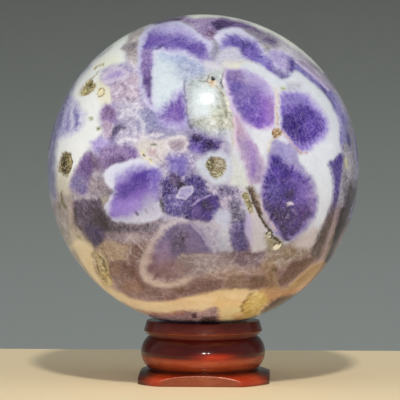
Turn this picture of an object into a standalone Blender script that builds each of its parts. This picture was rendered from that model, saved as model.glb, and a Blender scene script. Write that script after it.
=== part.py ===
# Polished amethyst ball on a small turned wooden stand.
#
# The ball rests in a dished seat in the stand's collar. The stand is turned from a square blank,
# so its foot keeps four flats with rounded corners between them. Metres, +Z up. The origin is the
# centre of the stand's underside, and the flat that the photograph looks at faces -Y.

import math

import bpy
from mathutils import Matrix

MM = 0.001

# The ball
BALL_DIAMETER = 98.0 * MM
BALL_MERIDIANS = 72

# The collar and the seat turned in its top
COLLAR_TOP_HEIGHT = 18.9 * MM
COLLAR_TOP_DIAMETER = 35.6 * MM
COLLAR_DIAMETER = 37.5 * MM
COLLAR_DEPTH = 3.3 * MM
COLLAR_EDGE = 0.4 * MM
LIP_DIAMETER = 35.4 * MM
LIP_DEPTH = 0.9 * MM
SEAT_DIAMETER = 28.8 * MM
SEAT_LAND_WIDTH = 1.6 * MM
SEAT_CLEARANCE = 0.3 * MM
DISH_DEPTH = 3.0 * MM

# The body between its two necks
NECK_DIAMETER = 33.8 * MM
UPPER_NECK_DEPTH = 4.7 * MM
BULGE_DIAMETER = 39.2 * MM

# The foot
FOOT_WIDTH = 40.0 * MM
FOOT_CORNER_DIAMETER = 46.8 * MM
FOOT_CROWN_HEIGHT = 3.7 * MM
FOOT_EDGE_HEIGHT = 1.6 * MM
FOOT_CHAMFER = 0.25 * MM

# Fineness of the turned surfaces
STAND_STEPS = 64
BULGE_POINTS = 9
CROWN_POINTS = 4
DISH_POINTS = 3
CUTTER_MARGIN = 5.0 * MM

# Sizes that follow from the driving ones
BALL_RADIUS = BALL_DIAMETER / 2
SEAT_SPHERE_RADIUS = BALL_RADIUS + SEAT_CLEARANCE
SEAT_RADIUS = SEAT_DIAMETER / 2
BALL_CENTRE_HEIGHT = COLLAR_TOP_HEIGHT + math.sqrt(SEAT_SPHERE_RADIUS**2 - SEAT_RADIUS**2)
COLLAR_BOTTOM_HEIGHT = COLLAR_TOP_HEIGHT - COLLAR_DEPTH
UPPER_NECK_HEIGHT = COLLAR_TOP_HEIGHT - UPPER_NECK_DEPTH


def clear_scene():
    for obj in list(bpy.data.objects):
        bpy.data.objects.remove(obj)


def new_collection(name):
    collection = bpy.data.collections.new(name)
    bpy.context.scene.collection.children.link(collection)
    return collection


def move_to(obj, collection):
    for owner in list(obj.users_collection):
        owner.objects.unlink(obj)
    collection.objects.link(obj)


def plain_material(name, colour, roughness, metallic=0.0):
    material = bpy.data.materials.new(name)
    material.use_nodes = True
    shader = material.node_tree.nodes["Principled BSDF"]
    shader.inputs["Base Color"].default_value = (*colour, 1.0)
    shader.inputs["Roughness"].default_value = roughness
    shader.inputs["Metallic"].default_value = metallic
    return material


def ball(collection):
    """The stone: a plain round ball, its poles on Z, its centre where the seat holds it."""
    bpy.ops.mesh.primitive_uv_sphere_add(
        segments=BALL_MERIDIANS,
        ring_count=BALL_MERIDIANS // 2,
        radius=BALL_RADIUS,
        location=(0, 0, BALL_CENTRE_HEIGHT),
    )
    obj = bpy.context.object
    obj.name = "ball"
    obj.data.shade_smooth()
    obj.data.materials.append(plain_material("polished_amethyst", (0.36, 0.24, 0.52), 0.12))
    move_to(obj, collection)
    return obj


def seat_height(radius):
    """How high the seat land is at a radius: it follows the ball, a clearance away from it."""
    return BALL_CENTRE_HEIGHT - math.sqrt(SEAT_SPHERE_RADIUS**2 - radius**2)


def dish_profile():
    """From the dish's centre out to the top of the land that the ball bears on."""
    land_inner = SEAT_RADIUS - SEAT_LAND_WIDTH
    dish_rim = seat_height(land_inner)
    points = []
    for i in range(DISH_POINTS):
        share = i / DISH_POINTS
        points.append((land_inner * share, dish_rim - DISH_DEPTH * (1 - share**2)))
    points.append((land_inner, dish_rim))
    middle = SEAT_RADIUS - SEAT_LAND_WIDTH / 2
    points.append((middle, seat_height(middle)))
    points.append((SEAT_RADIUS, seat_height(SEAT_RADIUS)))
    return points


def collar_profile():
    """The collar flares downward to its widest edge, then chamfers in over a thin lip to the neck."""
    top = COLLAR_TOP_DIAMETER / 2
    widest = COLLAR_DIAMETER / 2
    return [
        (top - COLLAR_EDGE, COLLAR_TOP_HEIGHT),
        (top, COLLAR_TOP_HEIGHT - COLLAR_EDGE),
        (widest, COLLAR_BOTTOM_HEIGHT),
        (LIP_DIAMETER / 2, COLLAR_BOTTOM_HEIGHT - LIP_DEPTH),
    ]


def bulge_profile():
    """A round arc that bellies out between the two necks."""
    neck = NECK_DIAMETER / 2
    half_height = (UPPER_NECK_HEIGHT - FOOT_CROWN_HEIGHT) / 2
    belly = BULGE_DIAMETER / 2 - neck
    arc_radius = (half_height**2 + belly**2) / (2 * belly)
    arc_centre = BULGE_DIAMETER / 2 - arc_radius
    middle = (UPPER_NECK_HEIGHT + FOOT_CROWN_HEIGHT) / 2
    sweep = math.atan2(half_height, neck - arc_centre)
    points = []
    for i in range(BULGE_POINTS + 1):
        angle = sweep * (1 - 2 * i / BULGE_POINTS)
        points.append((arc_centre + arc_radius * math.cos(angle), middle + arc_radius * math.sin(angle)))
    return points


def foot_profile():
    """The foot's crown falls away ever more steeply from the lower neck to the corner's edge."""
    neck = NECK_DIAMETER / 2
    corner = FOOT_CORNER_DIAMETER / 2
    points = []
    for i in range(1, CROWN_POINTS + 1):
        share = i / CROWN_POINTS
        fall = (FOOT_CROWN_HEIGHT - FOOT_EDGE_HEIGHT) * share**2
        points.append((neck + (corner - neck) * share, FOOT_CROWN_HEIGHT - fall))
    points.append((corner, FOOT_CHAMFER))
    points.append((corner - FOOT_CHAMFER, 0.0))
    points.append((0.0, 0.0))
    return points


def turned(name, profile, collection):
    """A solid of revolution about Z, from a profile that runs down its outer side."""
    mesh = bpy.data.meshes.new(name)
    edges = [(i, i + 1) for i in range(len(profile) - 1)]
    mesh.from_pydata([(radius, 0.0, height) for radius, height in profile], edges, [])
    obj = bpy.data.objects.new(name, mesh)
    collection.objects.link(obj)
    screw = obj.modifiers.new("turning", "SCREW")
    screw.axis = "Z"
    screw.steps = screw.render_steps = STAND_STEPS
    screw.use_merge_vertices = True
    screw.merge_threshold = 0.00001
    return obj


def flat_cutter(index, collection):
    """A box that takes one side of the square blank: all that lies outside one flat of the foot."""
    reach = FOOT_CORNER_DIAMETER / 2 - FOOT_WIDTH / 2 + CUTTER_MARGIN
    length = FOOT_CORNER_DIAMETER + 2 * CUTTER_MARGIN
    height = FOOT_CROWN_HEIGHT + CUTTER_MARGIN
    bpy.ops.mesh.primitive_cube_add(size=1.0)
    cutter = bpy.context.object
    cutter.name = f"flat_cutter_{index}"
    cutter.data.transform(Matrix.Diagonal((reach, length, height, 1.0)))
    cutter.data.transform(
        Matrix.Translation((FOOT_WIDTH / 2 + reach / 2, 0.0, FOOT_CROWN_HEIGHT - height / 2))
    )
    cutter.rotation_euler.z = index * math.pi / 2
    cutter.hide_render = True
    cutter.display_type = "WIRE"
    move_to(cutter, collection)
    return cutter


def stand(collection, cutters):
    """The whole stand: one turned piece with four flats on its foot."""
    profile = dish_profile() + collar_profile() + bulge_profile() + foot_profile()
    obj = turned("stand", profile, collection)
    for index in range(4):
        cut = obj.modifiers.new(f"flat_{index}", "BOOLEAN")
        cut.operation = "DIFFERENCE"
        cut.solver = "EXACT"
        cut.object = flat_cutter(index, cutters)
    obj.data.materials.append(plain_material("red_lacquered_wood", (0.28, 0.045, 0.02), 0.2))
    return obj


clear_scene()
parts = new_collection("decorative_sphere")
cutters = new_collection("cutters")
cutters.hide_render = True
ball(parts)
stand(parts, cutters)
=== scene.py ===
import itertools
import math

import bmesh
import bpy
import numpy as np
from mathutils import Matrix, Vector


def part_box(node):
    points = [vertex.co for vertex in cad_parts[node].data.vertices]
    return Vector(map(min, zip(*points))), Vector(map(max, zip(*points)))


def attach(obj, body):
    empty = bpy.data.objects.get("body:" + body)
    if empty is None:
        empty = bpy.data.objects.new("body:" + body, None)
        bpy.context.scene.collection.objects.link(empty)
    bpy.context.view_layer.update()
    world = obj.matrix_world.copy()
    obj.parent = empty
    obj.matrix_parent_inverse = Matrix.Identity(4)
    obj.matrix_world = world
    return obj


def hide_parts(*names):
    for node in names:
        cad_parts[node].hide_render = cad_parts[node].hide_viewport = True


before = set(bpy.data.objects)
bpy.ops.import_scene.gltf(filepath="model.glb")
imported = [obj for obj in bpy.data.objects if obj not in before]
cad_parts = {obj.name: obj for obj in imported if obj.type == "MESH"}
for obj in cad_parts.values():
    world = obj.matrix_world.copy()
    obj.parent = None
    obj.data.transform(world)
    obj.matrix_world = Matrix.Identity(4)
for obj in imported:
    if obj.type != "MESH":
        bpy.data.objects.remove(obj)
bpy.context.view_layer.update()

MM = 0.001


# The stand. One piece of fine-grained hardwood, turned from a square blank on a lathe: a flared
# collar that cradles the ball, a thin lip, a round bulge and a foot that keeps four flats of the
# blank. It is stained dark red and finished with thick glossy lacquer. All sizes are millimetres.
COLLAR_TOP = 18.9
COLLAR_TOP_RADIUS = 17.8
COLLAR_RADIUS = 18.75
COLLAR_DEPTH = 3.3
COLLAR_TOP_ROUNDING = 0.4
COLLAR_EDGE_ROUNDING = 0.22
LIP_TOP_RADIUS = 17.95
LIP_RADIUS = 17.9
LIP_DEPTH = 0.9
LIP_ROUNDING = 0.12
SEAT_RADIUS = 14.4
SEAT_LAND_WIDTH = 1.6
SEAT_GAP = 0.3
DISH_DEPTH = 3.0
NECK_RADIUS = 16.9
UPPER_NECK = 14.2
BULGE_RADIUS = 19.6
CROWN_HEIGHT = 3.7
CROWN_EDGE_HEIGHT = 1.6
CORNER_RADIUS = 23.8
FOOT_HALF_WIDTH = 20.0
FLAT_REACH = (21.1, 20.0, 19.5, 20.0)
FLAT_SHARPNESS = 14.0
FOOT_EDGE_SOFTENING = 0.22
FOOT_CHAMFER = 0.25
CHAMFER_STEP = 0.08
AXIS_GAP = 0.001

# How finely it is turned: steps round the axis, and rows down each part of the outline.
TURNING_STEPS = 384
DISH_ROWS = 8
BULGE_ROWS = 40
CROWN_ROWS = 13
SIDE_ROWS = 5
ARC_POINTS = 5

ball_low, ball_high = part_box("ball")
BALL_RADIUS = (ball_high.z - ball_low.z) / 2 / MM
BALL_CENTRE = (ball_high.z + ball_low.z) / 2 / MM


def linear(tone):
    """Turns an sRGB hex tone such as "#8a2b18" into the linear colour that a shader needs."""
    shares = np.array([int(tone[i:i + 2], 16) / 255 for i in (1, 3, 5)])
    return np.where(shares <= 0.04045, shares / 12.92, ((shares + 0.055) / 1.055) ** 2.4)


def rounded(corners):
    """A turned profile: each corner is (radius, height, rounding), its rounding cut as a short arc."""
    points = []
    for i, (x, z, rounding) in enumerate(corners):
        here = np.array((x, z))
        if rounding == 0:
            points.append(here)
            continue
        before = np.array(corners[i - 1][:2]) - here
        after = np.array(corners[i + 1][:2]) - here
        start = here + before / np.linalg.norm(before) * rounding
        end = here + after / np.linalg.norm(after) * rounding
        for share in np.linspace(0, 1, ARC_POINTS):
            points.append((1 - share) ** 2 * start + 2 * share * (1 - share) * here + share**2 * end)
    return points


def stand_profile():
    """The turned outline above the foot: the dish, its seat land, the collar, the lip and the bulge."""
    seat_sphere = BALL_RADIUS + SEAT_GAP
    land_inner = SEAT_RADIUS - SEAT_LAND_WIDTH
    rim = BALL_CENTRE - math.sqrt(seat_sphere**2 - land_inner**2)
    points = []
    for share in np.linspace(0, 1, DISH_ROWS):
        points.append(np.array((land_inner * share + AXIS_GAP, rim - DISH_DEPTH * (1 - share**2))))
    for radius in (SEAT_RADIUS - SEAT_LAND_WIDTH / 2, SEAT_RADIUS):
        points.append(np.array((radius, BALL_CENTRE - math.sqrt(seat_sphere**2 - radius**2))))
    collar_bottom = COLLAR_TOP - COLLAR_DEPTH
    points += rounded([
        (SEAT_RADIUS, COLLAR_TOP, 0),
        (COLLAR_TOP_RADIUS, COLLAR_TOP, COLLAR_TOP_ROUNDING),
        (COLLAR_RADIUS, collar_bottom, COLLAR_EDGE_ROUNDING),
        (LIP_TOP_RADIUS, collar_bottom - LIP_DEPTH * 0.5, LIP_ROUNDING),
        (LIP_RADIUS, collar_bottom - LIP_DEPTH, LIP_ROUNDING),
        (NECK_RADIUS, UPPER_NECK, 0),
    ])[1:]
    half_height = (UPPER_NECK - CROWN_HEIGHT) / 2
    belly = BULGE_RADIUS - NECK_RADIUS
    arc_radius = (half_height**2 + belly**2) / (2 * belly)
    arc_centre = BULGE_RADIUS - arc_radius
    middle = (UPPER_NECK + CROWN_HEIGHT) / 2
    sweep = math.atan2(half_height, NECK_RADIUS - arc_centre)
    for share in np.linspace(0, 1, BULGE_ROWS)[1:]:
        angle = sweep * (1 - 2 * share)
        radius = arc_centre + arc_radius * math.cos(angle)
        points.append(np.array((radius, middle + arc_radius * math.sin(angle))))
    return points


def foot_reach(angle):
    """How far the foot goes at an angle: to a flat of the blank, or to the turned corner between two."""
    reach = CORNER_RADIUS
    for side, flat in enumerate(FLAT_REACH):
        facing = math.cos(angle - side * math.pi / 2)
        if facing > 0.1:
            corner = math.exp(-FLAT_SHARPNESS * (reach - FOOT_HALF_WIDTH))
            planed = math.exp(-FLAT_SHARPNESS * (flat / facing - FOOT_HALF_WIDTH))
            reach = -math.log(corner + planed) / FLAT_SHARPNESS + FOOT_HALF_WIDTH
    return reach


def foot_profile(reach):
    """The foot's outline at one angle: its crown, a softened edge, the side and the underside."""
    def crown(radius):
        share = (radius - NECK_RADIUS) / (CORNER_RADIUS - NECK_RADIUS)
        return CROWN_HEIGHT - (CROWN_HEIGHT - CROWN_EDGE_HEIGHT) * share**2

    soft = FOOT_EDGE_SOFTENING
    points = []
    for share in np.linspace(0, 1, CROWN_ROWS + 1)[1:]:
        radius = NECK_RADIUS + (reach - soft - NECK_RADIUS) * share
        points.append((radius, crown(radius)))
    top = crown(reach)
    points.append((reach - soft * 0.45, crown(reach - soft * 0.45) - 0.03))
    points.append((reach - soft * 0.12, top - soft * 0.3))
    points.append((reach, top - soft))
    for share in np.linspace(0, 1, SIDE_ROWS + 1)[1:]:
        points.append((reach, top - soft + (FOOT_CHAMFER - top + soft) * share))
    points.append((reach - CHAMFER_STEP, CHAMFER_STEP))
    points.append((reach - FOOT_CHAMFER, 0.0))
    points.append((reach * 0.6, 0.0))
    points.append((AXIS_GAP, 0.0))
    return [np.array(point) for point in points]


def turned_ring(radius, height):
    """One ring of points round the axis, at a radius and a height for each angle."""
    return np.stack((radius * np.cos(angles), radius * np.sin(angles), height * np.ones(len(angles))), 1)


def grid_mesh(name, rings):
    """A closed turned skin from rings of points, each ring one step further down the outline."""
    count = len(rings[0])
    points = np.concatenate(rings)
    steps = np.arange(count)
    following = (steps + 1) % count
    faces = []
    for ring in range(len(rings) - 1):
        upper = ring * count
        lower = upper + count
        faces.append(np.stack((upper + steps, lower + steps, lower + following, upper + following), 1))
    mesh = bpy.data.meshes.new(name)
    mesh.from_pydata(points.tolist(), [], np.concatenate(faces).tolist())
    mesh.validate()
    mesh.update()
    mesh.shade_smooth()
    return mesh


angles = np.linspace(0, 2 * math.pi, TURNING_STEPS, endpoint=False)
upper_part = stand_profile()
feet = np.array([foot_profile(foot_reach(angle)) for angle in angles])
stand_rings = [turned_ring(radius, height) for radius, height in upper_part]
stand_rings += [turned_ring(feet[:, row, 0], feet[:, row, 1]) for row in range(feet.shape[1])]
stand_mesh = grid_mesh("turned_stand", [ring * MM for ring in stand_rings])
stand = bpy.data.objects.new("turned_stand", stand_mesh)
bpy.context.scene.collection.objects.link(stand)

# The colour laid on the stand by height is partly red stain and partly painted light and shade. It is warm
# red-brown on the foot and the lower bulge, as painted light from the floor in front. It is dense dark red
# on the collar and the upper bulge, as painted shade under the ball. There is a painted shadow in the neck
# above the foot, and thin painted highlights at the lip. The two sides are darker than front and back, a
# painted shade. The flats were planed, so they are browner, and their upper edge carries a painted
# highlight in short breaks. A painted red glow round the bulge's widest part, in front and behind, stands
# in for light that comes back through the lacquer. The foot's two ends are darkest: painted shade, and a
# painted reflection of the dark room that the lacquer mirrors there.
# Tones by height: stain, with painted light low down, painted shade high up, a painted shadow at the neck
# and painted highlights at the lip.
STAIN_AND_PAINTED_LIGHT = [
    (0.0, "#8a2a10"), (1.4, "#a5381a"), (2.3, "#ab3a18"), (2.9, "#8e2d11"), (3.4, "#5a1b0b"),
    (3.8, "#4c1609"), (4.6, "#8c3c20"), (6.0, "#9a4526"), (7.4, "#9c4426"), (7.9, "#8a3016"),
    (8.5, "#480c06"), (13.6, "#440a05"), (14.2, "#5a1c10"), (14.5, "#8a4a38"), (14.8, "#4a140c"),
    (15.1, "#6b2c18"), (15.5, "#8c4428"), (15.9, "#4a100a"), (18.9, "#480e09"),
]
# Painted shade: the two sides are darkened against front and back.
SIDE_SHADE_DARKENING = 0.19
GLOW_HEIGHT = 8.9
GLOW_HALF_DEPTH = 1.5
GLOW_TURN = math.radians(14)
FOOT_TURN = math.radians(6)
FOOT_END_START = 0.72
FOOT_END_BLEND = 0.16
FOOT_TINT = 0.85
EDGE_HIGHLIGHT_TINT = 0.5
EDGE_HIGHLIGHT_ROWS = (CROWN_ROWS, CROWN_ROWS + 1)
# The tone of a painted red glow round the bulge.
painted_red_glow = linear("#b43008")
planed_tone = linear("#80452b")
# A pale painted highlight along the flats' upper edge.
painted_edge_highlight_tone = linear("#dba08c")
# The foot's ends: painted shade and a painted reflection of the dark room.
foot_end_shade_tone = linear("#2e160c")

stain_and_light_levels = [level for level, tone in STAIN_AND_PAINTED_LIGHT]
stain_and_light_tones = np.array([linear(tone) for level, tone in STAIN_AND_PAINTED_LIGHT])
facing = angles + math.pi / 2
# Painted shade: darker at the two sides, lightest in front and behind.
painted_side_shade = 1 - SIDE_SHADE_DARKENING + SIDE_SHADE_DARKENING * np.cos(2 * facing)
glow_round = np.clip(np.cos(2 * (facing - GLOW_TURN)), 0, 1) ** 6
planed = np.clip(CORNER_RADIUS - 0.3 - feet[:, -3, 0], 0, 1)
highlight_breaks = 0.5 + 0.9 * np.abs(np.sin(angles * 61) * np.sin(angles * 37 + 1))
foot_end_shade = np.clip((FOOT_END_START - np.abs(np.cos(facing - FOOT_TURN))) / FOOT_END_BLEND, 0, 1)
stain_and_light = []
for row, ring in enumerate(stand_rings):
    # Tone by height: stain with painted light below and painted shade above.
    laid = np.stack([np.interp(ring[:, 2], stain_and_light_levels, stain_and_light_tones[:, k]) for k in range(3)], 1)
    laid *= painted_side_shade[:, None]
    # Painted glow: the tone is lifted to red round the bulge's widest part.
    glow = glow_round * np.clip(1 - abs(ring[:, 2] - GLOW_HEIGHT) / GLOW_HALF_DEPTH, 0, 1)
    laid += (painted_red_glow - laid) * glow[:, None]
    foot_row = row - len(upper_part)
    # Painted highlight, in short breaks, along the upper edge of the flats.
    if foot_row in EDGE_HIGHLIGHT_ROWS:
        laid += (painted_edge_highlight_tone - laid) * (EDGE_HIGHLIGHT_TINT * planed * highlight_breaks)[:, None]
    elif foot_row > max(EDGE_HIGHLIGHT_ROWS):
        laid += (planed_tone - laid) * (FOOT_TINT * planed)[:, None]
    # Painted shade and painted dark reflection at the foot's two ends.
    if foot_row >= 0:
        laid += (foot_end_shade_tone - laid) * (FOOT_TINT * foot_end_shade)[:, None]
    stain_and_light.append(laid)
stain_and_light = np.concatenate(stain_and_light)
stain_and_light_layer = stand_mesh.attributes.new("stain_and_light", "FLOAT_COLOR", "POINT")
stain_and_light_layer.data.foreach_set("color", np.concatenate((stain_and_light, np.ones((len(stain_and_light), 1))), 1).ravel())


def add(tree, kind, settings=None, inputs=None):
    """Adds one node, sets its settings, and fills or links its inputs."""
    node = tree.nodes.new(kind)
    for name, value in (settings or {}).items():
        setattr(node, name, value)
    for name, value in (inputs or {}).items():
        if isinstance(value, bpy.types.NodeSocket):
            tree.links.new(value, node.inputs[name])
        else:
            node.inputs[name].default_value = value
    return node


def new_finish(name):
    """A fresh material and its node tree, with nothing in it but the shader and the output."""
    material = bpy.data.materials.new(name)
    material.use_nodes = True
    return material, material.node_tree, material.node_tree.nodes["Principled BSDF"]


# Red lacquered wood: a red stain laid in two tones over fine turned grain, under a hard clear coat. To the
# eye the dark tone is almost black-red and the light one a warm red-brown. They are partly stain and partly
# painted light and shade: the dark one is painted shade on the upper parts, the warm one painted light on
# the lower ones. The coat carries small sharp glints. The grain lines lie level round the turned shape,
# about 0.8 mm apart, which is coarser than such wood has, so that they show.
lacquer, tree, shader = new_finish("red_lacquered_wood")
place = add(tree, "ShaderNodeTexCoord").outputs["Object"]
grain_place = add(tree, "ShaderNodeMapping", inputs={"Vector": place, "Scale": (1.0, 1.0, 5.0)})
grain = add(tree, "ShaderNodeTexNoise", inputs={
    "Vector": grain_place.outputs["Vector"], "Scale": 260.0, "Detail": 6.0,
    "Roughness": 0.62, "Distortion": 0.4,
})
blotch = add(tree, "ShaderNodeTexNoise", inputs={
    "Vector": place, "Scale": 90.0, "Detail": 3.0, "Roughness": 0.5,
})
grain_mix = add(tree, "ShaderNodeMix", {"data_type": "FLOAT"}, {
    "Factor": 0.45, "A": grain.outputs["Fac"], "B": blotch.outputs["Fac"],
})
# The stand's colour: stain and painted light and shade together.
stain_and_light_input = add(tree, "ShaderNodeAttribute", {"attribute_name": "stain_and_light"})
grain_depth = add(tree, "ShaderNodeMapRange", inputs={
    "Value": grain_mix.outputs["Result"], "From Min": 0.3, "From Max": 0.7, "To Min": 1.22, "To Max": 0.84,
})
wood_tone = add(tree, "ShaderNodeGamma", inputs={
    "Color": stain_and_light_input.outputs["Color"], "Gamma": grain_depth.outputs["Result"],
})
ripple = add(tree, "ShaderNodeTexNoise", inputs={
    "Vector": place, "Scale": 420.0, "Detail": 2.0, "Roughness": 0.4,
})
lacquer_bump = add(tree, "ShaderNodeBump", inputs={
    "Height": ripple.outputs["Fac"], "Strength": 0.06, "Distance": 0.0002,
})
tree.links.new(wood_tone.outputs["Color"], shader.inputs["Base Color"])
tree.links.new(lacquer_bump.outputs["Normal"], shader.inputs["Normal"])
shader.inputs["Roughness"].default_value = 0.32
shader.inputs["Specular IOR Level"].default_value = 0.1
shader.inputs["Coat Weight"].default_value = 0.55
shader.inputs["Coat Roughness"].default_value = 0.06
shader.inputs["Coat IOR"].default_value = 1.52
tree.links.new(lacquer_bump.outputs["Normal"], shader.inputs["Coat Normal"])

stand_mesh.materials.append(lacquer)
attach(stand, "root")
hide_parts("stand")


# The ball. One solid piece of banded amethyst, ground round and polished: purple crystals cut across in all
# directions, set in milky quartz, stained cream and brown by iron low down, where the cream is partly
# painted warm light from the floor. It is held by its own weight in the stand's dish. Small open pockets in
# the stone are left with rough crystals.

# FACE_TURN and FACE_DIP are the degrees, round to the right and above level, of the side that the
# photograph looks at, and FACE_DISTANCE is how far off its eye is. The skin is finer for FINE_CAP
# degrees round from there. SOFTNESS widens the borders of tones, as light does in milky stone.
FACE_TURN = 3.0
FACE_DIP = -0.8
FACE_DISTANCE = 500.0
FINE_CAP = 75.0
SOFTNESS = 1.5


def direction(turn, rise):
    """A unit vector: turn in degrees round from the front towards the right, rise above level."""
    turn, rise = math.radians(turn), math.radians(rise)
    return np.array((math.sin(turn) * math.cos(rise), -math.cos(turn) * math.cos(rise), math.sin(rise)))


# Small features that need a finer skin: millimetres right and up on the drawn side, and a radius.
FINE_SPOTS = [
    (3.2, 28.6, 3.2), (5.8, 24.6, 2.6), (8, 20, 2.6), (4, 1, 5.2), (-6, -7, 3.4), (-36.5, 26.2, 3.4),
    (-32.4, 24.6, 2.0), (-43.6, 2, 4.6), (23.2, 11.8, 2.6), (15, -9, 3.2), (17.6, -13, 2.6),
    (20.6, -18.6, 3.0), (23.6, -22.8, 2.8), (-17, 5, 3.4), (0, -11, 4.6), (27.6, -11, 2.2),
]


def ball_skin():
    """An even triangle mesh, twice as fine on the drawn side and finer still at small features."""
    bm = bmesh.new()
    bmesh.ops.create_icosphere(bm, subdivisions=7, radius=1.0)
    facing = Vector(direction(FACE_TURN, FACE_DIP))
    limit = math.cos(math.radians(FINE_CAP))
    edges = set()
    for face in bm.faces:
        if face.normal.dot(facing) > limit:
            edges.update(face.edges)
    bmesh.ops.subdivide_edges(bm, edges=list(edges), cuts=1, use_grid_fill=True)
    bmesh.ops.triangulate(bm, faces=bm.faces[:])
    right = Vector((facing.y, -facing.x, 0)).normalized() * -1
    up = facing.cross(right)
    edges = set()
    for face in bm.faces:
        centre = face.calc_center_median().normalized()
        if centre.dot(facing) < 0.2:
            continue
        scale = BALL_RADIUS * FACE_DISTANCE / (FACE_DISTANCE - BALL_RADIUS * centre.dot(facing))
        x, z = centre.dot(right) * scale, centre.dot(up) * scale
        if any(math.hypot(x - spot_x, z - spot_z) < radius for spot_x, spot_z, radius in FINE_SPOTS):
            edges.update(face.edges)
    bmesh.ops.subdivide_edges(bm, edges=list(edges), cuts=1, use_grid_fill=True)
    bmesh.ops.triangulate(bm, faces=bm.faces[:])
    for vert in bm.verts:
        vert.co.normalize()
    mesh = bpy.data.meshes.new("amethyst_ball")
    bm.to_mesh(mesh)
    bm.free()
    return mesh


ball_mesh = ball_skin()
count = len(ball_mesh.vertices)
normals = np.zeros(count * 3)
ball_mesh.vertices.foreach_get("co", normals)
normals = normals.reshape(-1, 3)
skin = normals * BALL_RADIUS


def swell(points, size, seed):
    """Smooth seeded noise from about -1 to 1, one swell to every size in millimetres."""
    points = points / size + seed * 7.31
    cell = np.floor(points).astype(np.int64)
    part = points - cell
    blend = part * part * part * (part * (part * 6 - 15) + 10)
    total = np.zeros(len(points))
    for corner in itertools.product((0, 1), repeat=3):
        x, y, z = (cell + corner).T
        key = (x * 374761393 + y * 668265263 + z * 362437 + seed * 97531) & 0xFFFFFFFF
        key = ((key ^ (key >> 13)) * 1274126177) & 0xFFFFFFFF
        key = ((key ^ (key >> 15)) * 2246822519) & 0xFFFFFFFF
        slope = np.stack(((key & 1023), (key >> 10) & 1023, (key >> 20) & 1023), 1) / 511.5 - 1
        share = np.prod(np.where(np.array(corner) == 1, blend, 1 - blend), axis=1)
        total += share * np.sum(slope * (part - corner), axis=1)
    return total * 1.7


# Every outline is read about half a millimetre off its place, now one way and now another, so that no
# border runs as smoothly as it was drawn.
bend = np.stack([swell(skin, 3.2, 1), swell(skin, 3.2, 2), swell(skin, 3.2, 3)], 1) * 0.45
bend += np.stack([swell(skin, 1.3, 4), swell(skin, 1.3, 5), swell(skin, 1.3, 6)], 1) * 0.22
bent = normals + bend / BALL_RADIUS
bent /= np.linalg.norm(bent, axis=1)[:, None]

# What makes a tone uneven: clouds of 1 to 6 mm, flecks and crumbs of about 1 mm, a speckle that
# differs from point to point, and thin wisps of milk.
cloud = swell(skin, 6.0, 11) * 0.55 + swell(skin, 2.6, 12) * 0.35 + swell(skin, 1.3, 13) * 0.25
fleck = swell(skin, 1.5, 14) * 0.5 + swell(skin, 0.85, 15) * 0.5
crumb = swell(skin, 0.9, 16)
speckle = np.random.default_rng(17).normal(0, 0.5, count)
wisp = np.clip(1 - abs(swell(skin, 4.6, 41) + 0.4 * swell(skin, 1.7, 42) + 0.15 * fleck) / 0.17, 0, 1)


def side_plane(turn, rise, distance=None):
    """Where each point of the skin shows, in millimetres right and up, for an eye on that side.

    With a distance it is what an eye that far off sees, carried on past the edge round the back;
    without one it is the length along the skin from that side's middle."""
    toward = direction(turn, rise)
    right = np.cross(np.array((0, 0, 1.0)), toward)
    right /= np.linalg.norm(right)
    up = np.cross(toward, right)
    across = bent @ right
    along = bent @ up
    facing = np.clip(bent @ toward, -1, 1)
    angle = np.arccos(facing)
    if distance is None:
        reach = BALL_RADIUS * angle
    else:
        edge = math.acos(BALL_RADIUS / distance)
        seen = BALL_RADIUS * np.sin(angle) * distance / (distance - BALL_RADIUS * facing)
        widest = BALL_RADIUS / math.sin(edge)
        reach = np.where(angle < edge, seen, widest + BALL_RADIUS * (angle - edge))
    length = np.maximum(np.hypot(across, along), 1e-9)
    return np.stack((across / length * reach, along / length * reach), 1)


plane = side_plane(FACE_TURN, FACE_DIP, FACE_DISTANCE)


CURVE_STEPS = 5


def smooth_path(points, closed):
    """Runs a flowing curve through points that were given."""
    points = np.array(points, float)
    count = len(points)
    curve = []
    for i in range(count if closed else count - 1):
        if closed:
            before, start, end, after = (points[(i + k) % count] for k in (-1, 0, 1, 2))
        else:
            before, start, end, after = (points[min(max(i + k, 0), count - 1)] for k in (-1, 0, 1, 2))
        for share in np.arange(CURVE_STEPS) / CURVE_STEPS:
            curve.append(0.5 * (2 * start + (end - before) * share
                                + (2 * before - 5 * start + 4 * end - after) * share**2
                                + (3 * start - before - 3 * end + after) * share**3))
    if not closed:
        curve.append(points[-1])
    return np.array(curve)


def depth_inside(path, closed, margin):
    """Which points of the skin lie near a curve, and how far inside it each is (outside: negative)."""
    low = path.min(0) - margin
    high = path.max(0) + margin
    near = np.nonzero(np.all((plane > low) & (plane < high), axis=1))[0]
    spots = plane[near]
    nearest = np.full(len(near), 1e9)
    inside = np.zeros(len(near), bool)
    last = len(path) if closed else len(path) - 1
    for i in range(last):
        start = path[i]
        run = path[(i + 1) % len(path)] - start
        gap = spots - start
        share = np.clip(gap @ run / max(run @ run, 1e-9), 0, 1)
        nearest = np.minimum(nearest, np.hypot(*(gap - share[:, None] * run).T))
        if closed and run[1] != 0:
            crosses = (gap[:, 1] >= 0) != (gap[:, 1] >= run[1])
            inside ^= crosses & (gap[:, 0] < gap[:, 1] / run[1] * run[0])
    return near, np.where(inside, nearest, -nearest)


def step(low, high, value):
    """Runs smoothly from 0 at low to 1 at high."""
    share = np.clip((value - low) / (high - low), 0, 1)
    return share * share * (3 - 2 * share)


frost = np.zeros(count)
grit = np.zeros(count)
dent = np.zeros(count)


def fibres(near, outline):
    """Noise drawn out into lines that run from the middle of an outline to its border."""
    gap = plane[near] - np.mean(np.array(outline, float), axis=0)
    reach = np.maximum(np.hypot(gap[:, 0], gap[:, 1]), 0.5)
    return swell(np.stack((gap[:, 0] / reach * 9, gap[:, 1] / reach * 9, reach / 4.5), 1), 1.0, 31)


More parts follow.
